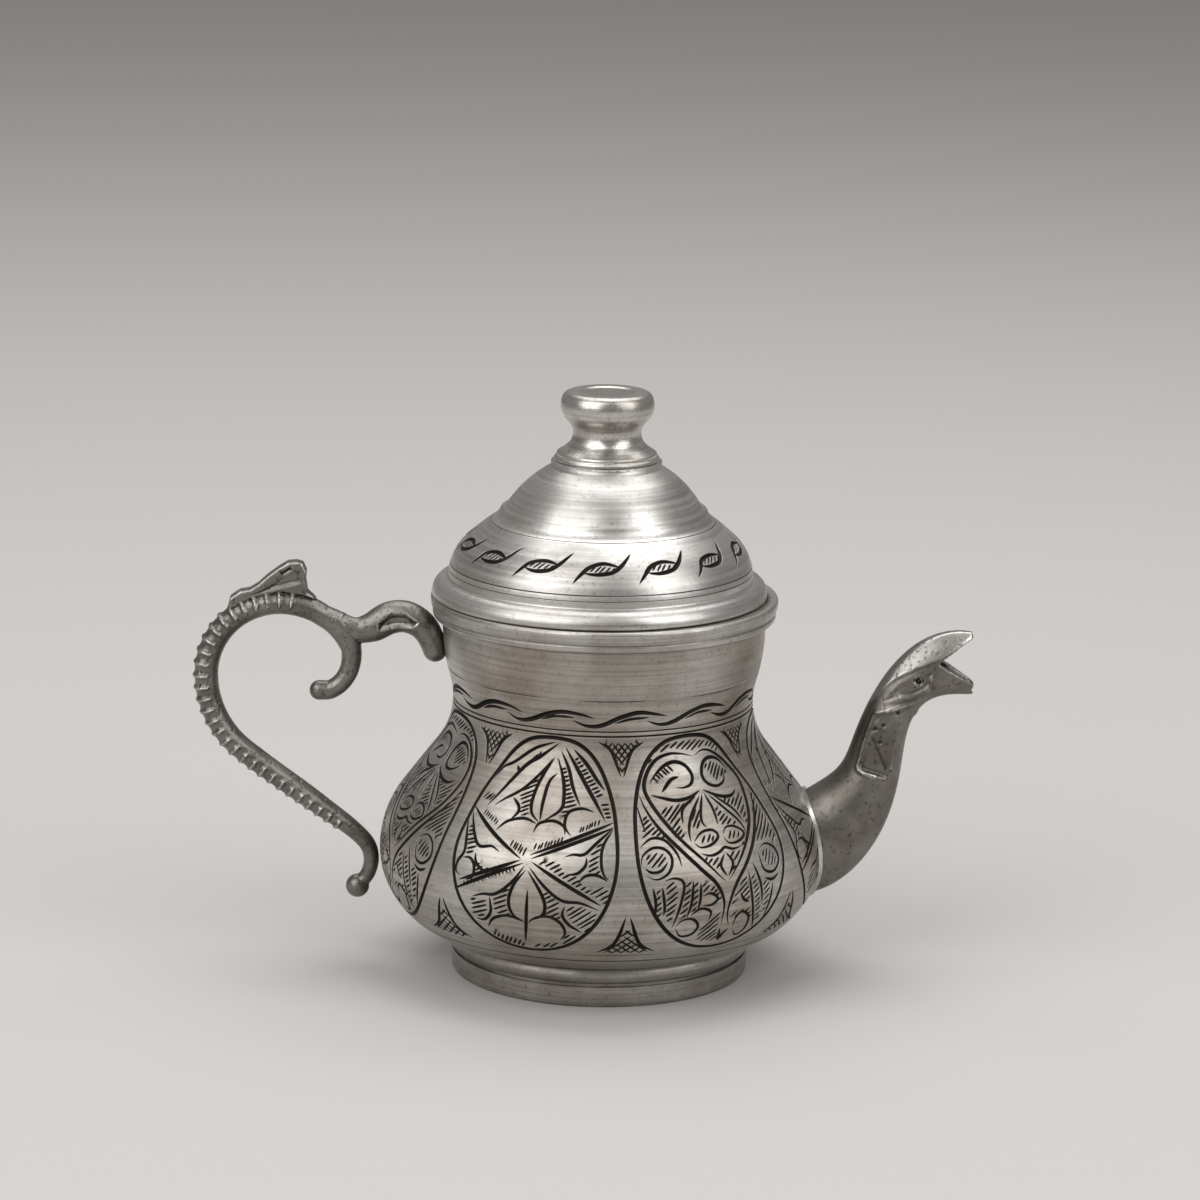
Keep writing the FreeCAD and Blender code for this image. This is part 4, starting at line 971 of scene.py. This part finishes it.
spout.ridge([(57, 56.4), (55.2, 51), (53.8, 45.6)], width=0.35, height=0.3)
spout.ridge([(62.8, 55.6), (61.6, 51), (60.9, 45)], width=0.35, height=0.25)
spout.push += CHIN_HEIGHT * np.exp(-(spout.away(CHIN) / CHIN_RADIUS) ** 2)
spout.pit(spacing=0.9, depth=0.12, share=0.35)
spout.finish()
spout_metal = new_casting("spout_metal", bright=(0.58, 0.565, 0.54), dull=(0.235, 0.22, 0.2),
                          dark=(0.135, 0.122, 0.105), rough=0.4, pit_size=1000.0)
new_piece("serpent_spout", spout.mesh, "pot", "spout", spout_metal)

# Spout solder
# A bright run of tin solder round the spout's root, which holds the spout to the belly and is left as
# it flowed. The frame's own solid is shown.
solder_tin = new_metal("solder_tin", bright=(0.68, 0.67, 0.65), dull=(0.48, 0.465, 0.44), rough=(0.22, 0.38),
                       cloud_size=300.0, pit_size=2200.0, lathe=0.0, pits=0.4)
dress(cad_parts["spout_solder"].data, solder_tin)

# Handle
# One casting of dark metal, soldered to the neck and resting on the belly: a scroll and bar with ribs
# filed across their outer side, a tail with a ball, an arm with a hollowed hump, a curl and a thumb rest.
RIB_PITCH = 2.45
RIB_HEIGHT = 0.5
RIB_HALF_WIDTH = 0.4
RIB_SIDE, RIB_FADE = 0.3, 0.25
RIBBED = (14.0, 89.0)
ROD_SIDES = 40
ROD_STEP = 0.22


def rod(shape, path, deep, wide, ribbed=(0.0, 0.0)):
    """A rod of oval section along a path in the side view. Its half sizes run through those given."""
    line = smooth_line(path, step=ROD_STEP)
    run = run_along(line)
    share = run / run[-1]
    half_deep = np.interp(share, np.linspace(0, 1, len(deep)), deep)
    half_wide = np.interp(share, np.linspace(0, 1, len(wide)), wide)
    heading = np.gradient(line, axis=0)
    heading /= np.hypot(*heading.T)[:, None]
    rings = []
    for i, (x, z) in enumerate(line):
        rib = 0.0
        if ribbed[0] < run[i] < ribbed[1]:
            phase = (run[i] / RIB_PITCH) % 1 - 0.5
            rib = RIB_HEIGHT * math.exp(-(phase * RIB_PITCH / RIB_HALF_WIDTH) ** 2)
        ring = []
        for step in range(ROD_SIDES):
            angle = 2 * math.pi * step / ROD_SIDES
            lift = rib * min(1, max(0, (RIB_SIDE - math.cos(angle)) / RIB_FADE))
            inward, sideways = half_deep[i] * math.cos(angle), half_wide[i] * math.sin(angle)
            grow = 1 + lift / half_deep[i]
            ring.append(shape.verts.new(((x - heading[i, 1] * inward * grow) * MM, sideways * grow * MM,
                                         (z + heading[i, 0] * inward * grow) * MM)))
        rings.append(ring)
    for one, two in zip(rings, rings[1:]):
        for i in range(ROD_SIDES):
            j = (i + 1) % ROD_SIDES
            shape.faces.new((one[i], one[j], two[j], two[i]))
    shape.faces.new(rings[0][::-1])
    shape.faces.new(rings[-1])


BOW = (-67.9, 62.3, 15.75)
LOW_BOW = (-62.8, 62.3, 20.85)


def bow_points(bow, angles):
    """Points of a circle in the side view, given by its centre and radius."""
    x, z, radius = bow
    return [(x + radius * math.cos(math.radians(a)), z + radius * math.sin(math.radians(a))) for a in angles]


scroll = bow_points(BOW, range(24, 180, 12)) + bow_points(LOW_BOW, range(180, 240, 12))
scroll += [(-71.9, 43.0), (-65.0, 38.0), (-58.5, 33.3), (-53.2, 29.4), (-49.7, 25.9), (-48.7, 22.6),
           (-49.4, 19.3), (-51.2, 17.0)]
curl = [(-56.6, 74.6), (-54.2, 71.6), (-53.1, 68.0), (-53.4, 64.2), (-55.0, 61.2), (-57.4, 59.4),
        (-59.8, 59.2)]
arm = [(-60.5, 76.0), (-56.5, 74.0), (-52.6, 72.3), (-48.8, 73.0), (-45.2, 75.0), (-42.0, 75.4),
       (-39.2, 74.3), (-37.4, 72.6), (-36.2, 70.4), (-35.5, 68.4)]
thumb_rest = [(-60.6, 79.2), (-62.3, 80.7), (-62.7, 83.3), (-62.5, 85.0), (-63.3, 86.7), (-64.6, 87.1),
              (-66.5, 86.9), (-68.6, 85.6), (-70.7, 84.0), (-72.8, 82.1), (-74.5, 81.0), (-76.6, 80.6),
              (-78.6, 79.2), (-79.2, 76.0), (-74.0, 79.2), (-68.0, 80.6), (-63.0, 79.8)]
THUMB_HALF, THUMB_BEVEL = 2.0, 0.75
handle_form = bmesh.new()
rod(handle_form, scroll, deep=[1.9, 2.5, 2.5, 2.5, 2.45, 2.4, 2.3, 1.8, 1.5],
    wide=[2.1, 2.9, 2.9, 2.9, 2.9, 2.8, 2.6, 2.2, 1.8], ribbed=RIBBED)
bead(handle_form, -51.6, 16.5, deep=2.5, wide=2.5)
rod(handle_form, curl, deep=[2.4, 2.4, 2.2, 2.1, 2.0, 2.0, 2.1], wide=[2.6, 2.5, 2.3, 2.2, 2.1, 2.1, 2.1])
bead(handle_form, *curl[-1], deep=2.12, wide=2.12)
rod(handle_form, arm, deep=[2.2, 2.5, 2.6, 2.8, 3.3, 3.5, 3.4, 3.1, 2.8, 2.6],
    wide=[2.6, 2.7, 2.3, 2.3, 2.7, 3.0, 3.4, 3.8, 3.8, 3.3])
bead(handle_form, *arm[-1], deep=2.6, wide=3.3)
crest = bmesh.new()
near_side = crest.faces.new([crest.verts.new((x * MM, -THUMB_HALF * MM, z * MM)) for x, z in thumb_rest])
raised = bmesh.ops.extrude_face_region(crest, geom=[near_side], use_keep_orig=True)["geom"]
bmesh.ops.translate(crest, verts=[v for v in raised if isinstance(v, bmesh.types.BMVert)],
                    vec=(0, 2 * THUMB_HALF * MM, 0))
side_edges = [e for e in crest.edges if abs(e.verts[0].co.y - e.verts[1].co.y) < WELD]
bmesh.ops.bevel(crest, geom=side_edges, offset=THUMB_BEVEL * MM, segments=3, profile=0.5, affect="EDGES",
                clamp_overlap=True, material=-1)
join(handle_form, crest)
bmesh.ops.recalc_face_normals(handle_form, faces=handle_form.faces)
HANDLE_GRAIN = 0.2
THUMB_HOLLOW = [(-63.0, 82.6), (-63.3, 85.6), (-65.0, 86.3), (-68.4, 84.4), (-72.6, 80.9), (-76.8, 79.2),
                (-72.0, 80.2), (-67.0, 81.4)]
HUMP_HOLLOW = [(-47.6, 74.4), (-44.8, 76.8), (-41.6, 76.8), (-38.8, 75.0), (-40.2, 73.6), (-44.0, 73.4),
               (-47.4, 72.6)]
handle = Casting("scroll_handle", handle_form, HANDLE_GRAIN)
handle.sink(THUMB_HOLLOW, edge=1.1, depth=0.45)
handle.ridge([(-67.6, 84.6), (-66.0, 85.6)], width=0.4, height=-0.5)
handle.sink(HUMP_HOLLOW, edge=0.9, depth=0.95)
handle.pit(spacing=0.75, depth=0.16, share=0.3)
handle.finish()
handle_metal = new_casting("handle_metal", bright=(0.66, 0.645, 0.62), dull=(0.25, 0.235, 0.215),
                           dark=(0.15, 0.14, 0.125), rough=0.38, pit_size=1200.0)
new_piece("scroll_handle", handle.mesh, "pot", "handle", handle_metal)

# Lid dome
# A spun lid of tinned copper, brighter than the pot: a rolled flange, a low dome with a burin-cut band of
# twisted leaves, and a polished cap. It is loose, and stands pushed a little towards the handle.
LID_WALL = 0.8
FLANGE_EDGE, FLANGE_CURVE = 35.2, 3.2
FLANGE_REST = MOUTH_HEIGHT + 0.02
FLANGE_BEND = MOUTH_HEIGHT + 0.6
FLANGE_TOP = FLANGE_BEND + FLANGE_CURVE
ROLLED_EDGE = [(FLANGE_EDGE - 0.5, FLANGE_REST), (FLANGE_EDGE - 0.14, MOUTH_HEIGHT + 0.14),
               (FLANGE_EDGE, MOUTH_HEIGHT + 0.45)]
DOME_RADIUS, DOME_CURVE, DOME_TURN = 32.0, 11.0, 50
STEP_INSIDE = (23.4, 96.14)
CAP_RADIUS, CAP_FOOT, CAP_CURVE = 22.1, 96.74, 24.0
CROWN_RADIUS, CROWN_FOOT, CROWN_TOP = 11.6, 108.39, 109.59
CROWN_HOLE = 2.45
SOFT_STEP = [(25.4, 95.5), (24.5, 96.2), (23.6, 96.85), (22.7, 97.5), (21.95, 98.5), (21.6, 99.3)]
STEP_SKIPS = 8
LID_CIRCLE = 29.0
LID_LENGTH = 2 * math.pi * LID_CIRCLE
LID_COLUMNS = 200
LID_SEAM = 168.0
LID_RINGS = ((96.9, 0.26), (87.6, 0.3), (86.4, 0.24))
LEAVES = 14
LEAF_HEIGHT = 92.6
LEAF_SIDES = ([(-6.1, -3.5), (-4.8, -1.8), (-3.1, 0.4), (-0.2, 1.3), (2.4, 0.8), (3.7, 0.1)],
              [(-4.4, -0.9), (-1.6, -1.4), (1.6, -0.9), (3.4, 0.5), (4.8, 2.3), (6.1, 4)])
LEAF_SIDE_CUT = 1.1
LEAF_GROUND = [(-3.4, -0.6), (-1.4, -1), (1.4, -0.6), (2.8, 0.2), (0, 0.9), (-2.4, 0.5)]
LEAN = 1.1


def cap_arc(offset):
    """The cap between its foot and its crown, as an arc moved out by an offset."""
    foot, top = Vector((CAP_RADIUS, CAP_FOOT)), Vector((CROWN_RADIUS, CROWN_FOOT))
    chord = top - foot
    rise = math.sqrt(CAP_CURVE ** 2 - chord.length_squared / 4)
    centre = (foot + top) / 2 + Vector((-chord.y, chord.x)).normalized() * rise
    ends = [math.degrees(math.atan2(*reversed(p - centre))) for p in (foot, top)]
    return arc(centre.x, centre.y, CAP_CURVE + offset, *ends)


lid_line = Outline(
    ROLLED_EDGE + arc(DOME_RADIUS, FLANGE_BEND, FLANGE_CURVE, 0, 90)
    + arc(DOME_RADIUS - DOME_CURVE, FLANGE_TOP, DOME_CURVE, 0, DOME_TURN)
    + [tuple(p) for p in smooth_line(SOFT_STEP, step=0.25)]
    + cap_arc(0)[STEP_SKIPS:] + [(CROWN_RADIUS, CROWN_TOP)])
lid_lining = (
    [(CROWN_RADIUS, CROWN_TOP), (CROWN_HOLE, CROWN_TOP), (CROWN_HOLE, CROWN_TOP - LID_WALL)]
    + cap_arc(-LID_WALL)[::-1] + [STEP_INSIDE]
    + arc(DOME_RADIUS - DOME_CURVE, FLANGE_TOP, DOME_CURVE - LID_WALL, DOME_TURN, 0)
    + arc(DOME_RADIUS, FLANGE_BEND, FLANGE_CURVE - LID_WALL, 90, 0)
    + [(FLANGE_EDGE - LID_WALL, FLANGE_REST), ROLLED_EDGE[0]])
lid_burin = Burin(11)
leaf_row = lid_line.along(LEAF_HEIGHT)
for leaf in range(LEAVES):
    shift = LID_LENGTH * (leaf + 0.5) / LEAVES
    lid_burin.place = lambda points, shift=shift: np.array(points, float) + (shift, leaf_row)
    lid_burin.lines(LEAF_SIDES, LEAF_SIDE_CUT)
    lid_burin.fill(LEAF_GROUND, slant=50, pitch=0.85, width=0.55)
lid_burin.place = lambda points: np.array(points, float)
for height, width in LID_RINGS:
    row = lid_line.along(height)
    lid_burin.line([(0, row), (LID_LENGTH / 2, row), (LID_LENGTH, row)], width, blunt=True)


def lean(shape):
    """Pushes the loose lid towards the handle, most at the flange and not at all at the crown."""
    for vert in shape.verts:
        height = (vert.co.z / MM - MOUTH_HEIGHT) / (CROWN_TOP - MOUTH_HEIGHT)
        vert.co.x -= LEAN * MM * min(1, max(0, 1 - height))


lid_tin = new_metal("lid_tin", bright=(0.64, 0.625, 0.6), dull=(0.46, 0.44, 0.41), rough=(0.28, 0.42),
                    cloud_size=75.0, pit_size=1100.0, lathe=0.85, pits=0.3, grooved=True)
lid_skin = engraved_skin(lid_line, lid_burin.cuts, LID_CIRCLE, LID_SEAM, LID_COLUMNS)
join(lid_skin, turned(lid_lining, LID_COLUMNS, LID_SEAM))
lean(lid_skin)
lid = new_piece("engraved_lid", lid_skin, "lid", "lid_dome", lid_tin)
keep_turned_normals(lid.data)

# Lid collar
# A plain hoop of thin tinned copper, soldered up inside the dome. It reaches down into the mouth and
# keeps the loose lid in its place.
COLLAR_INSIDE, COLLAR_OUTSIDE = 30.35, 31.15
COLLAR_LOW, COLLAR_HIGH = 74.02, 85.2
collar_line = [(COLLAR_INSIDE, COLLAR_LOW), (COLLAR_OUTSIDE, COLLAR_LOW), (COLLAR_OUTSIDE, COLLAR_HIGH),
               (COLLAR_INSIDE, COLLAR_HIGH), (COLLAR_INSIDE, COLLAR_LOW)]
collar_tin = new_metal("collar_tin", bright=(0.5, 0.48, 0.45), dull=(0.34, 0.32, 0.3), rough=(0.34, 0.5),
                       cloud_size=90.0, pit_size=1400.0, lathe=0.8, pits=0.6)
collar_shape = turned(collar_line)
lean(collar_shape)
new_piece("plain_collar", collar_shape, "lid", "lid_collar", collar_tin)

# Lid knob
# Turned from the solid, tinned and riveted to the crown: two beads and a bell foot, a thin neck, and a
# thick disc with a shallow dish on top.
knob_line = rounded([
    (0, 116.9, 0), (2.55, 116.9, 0), (2.55, 109.66, 0), (10.9, 109.66, 0.25), (11.1, 110.35, 0.35),
    (10.4, 110.75, 0.12), (10.5, 111.35, 0.3), (9.8, 111.75, 0.12), (8.7, 112.5, 0.8), (7.6, 113.6, 0.9),
    (7.1, 115.0, 0.9), (7.15, 116.5, 0.9), (8.0, 117.7, 0.9), (9.25, 119.0, 0.9), (9.8, 120.7, 1.0),
    (9.75, 122.2, 1.0), (9.3, 123.5, 0.8), (8.3, 124.2, 0.5), (6.0, 124.22, 0.3), (5.3, 123.85, 0.3),
    (0, 123.8, 0)])
knob_tin = new_metal("knob_tin", bright=(0.64, 0.62, 0.585), dull=(0.42, 0.395, 0.36), rough=(0.22, 0.36),
                     cloud_size=160.0, pit_size=1700.0, lathe=0.9, pits=0.4)
new_piece("turned_knob", turned(knob_line), "lid", "lid_knob", knob_tin)

# Washer and rivet
# A copper rivet with a hammered head comes up through a copper washer under the crown and holds the
# knob. Both are the frame's own solids, in one dull finish.
copper = new_metal("copper", bright=(0.6, 0.36, 0.24), dull=(0.36, 0.2, 0.13), rough=(0.34, 0.5),
                   cloud_size=200.0, pit_size=1600.0, lathe=0.3, pits=0.6)
for name in ("knob_washer", "knob_rivet"):
    dress(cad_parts[name].data, copper)

# Stage
# A plain pale floor, soft lamps from above on both sides and a camera at the viewing angle.
FLOOR_HALF = 6.0
LOOK_AT = Vector((-0.00095, 0, 0.0796))
EYE_DISTANCE = 1.029
LOOK_DOWN = 12.9
ROLL = 0.9
LENS, SENSOR = 147, 36
FLOOR_TONE = (0.5, 0.485, 0.47, 1)
ROOM_TONE = (0.3, 0.295, 0.29, 1)
floor = bmesh.new()
bmesh.ops.create_grid(floor, x_segments=1, y_segments=1, size=FLOOR_HALF)
floor_mesh = to_mesh("floor", floor)
floor_piece = new_object("floor", floor_mesh)
floor_finish = bpy.data.materials.new("floor")
floor_finish.use_nodes = True
floor_shader = floor_finish.node_tree.nodes["Principled BSDF"]
floor_shader.inputs["Base Color"].default_value = FLOOR_TONE
floor_shader.inputs["Roughness"].default_value = 0.9
dress(floor_mesh, floor_finish)


def add_lamp(name, place, size, power):
    """A soft rectangular lamp that faces the pot."""
    lamp = bpy.data.lights.new(name, "AREA")
    lamp.shape = "RECTANGLE"
    lamp.size, lamp.size_y = size
    lamp.energy = power
    holder = new_object(name, lamp)
    holder.location = place
    holder.rotation_euler = (LOOK_AT - Vector(place)).to_track_quat("-Z", "Y").to_euler()


add_lamp("left_softbox", (-0.85, -0.85, 0.95), (1.3, 1.5), 16.0)
add_lamp("right_softbox", (0.9, -0.6, 0.8), (0.8, 1.2), 7.5)
add_lamp("top_softbox", (0.05, 0.35, 1.2), (1.3, 1.0), 10.0)

room = bpy.data.worlds.new("studio")
bpy.context.scene.world = room
room.use_nodes = True
room_light = room.node_tree.nodes["Background"]
room_light.inputs["Color"].default_value = ROOM_TONE
room_light.inputs["Strength"].default_value = 1.0

camera_data = bpy.data.cameras.new("camera")
camera_data.sensor_width = SENSOR
camera_data.lens = LENS
camera = new_object("camera", camera_data)
down = math.radians(LOOK_DOWN)
eye = LOOK_AT + EYE_DISTANCE * Vector((0, -math.cos(down), math.sin(down)))
camera.matrix_world = (Matrix.Translation(eye) @ Matrix.Rotation(math.radians(90 - LOOK_DOWN), 4, "X")
                       @ Matrix.Rotation(math.radians(ROLL), 4, "Z"))
bpy.context.scene.camera = camera
bpy.context.scene.view_settings.view_transform = "Standard"
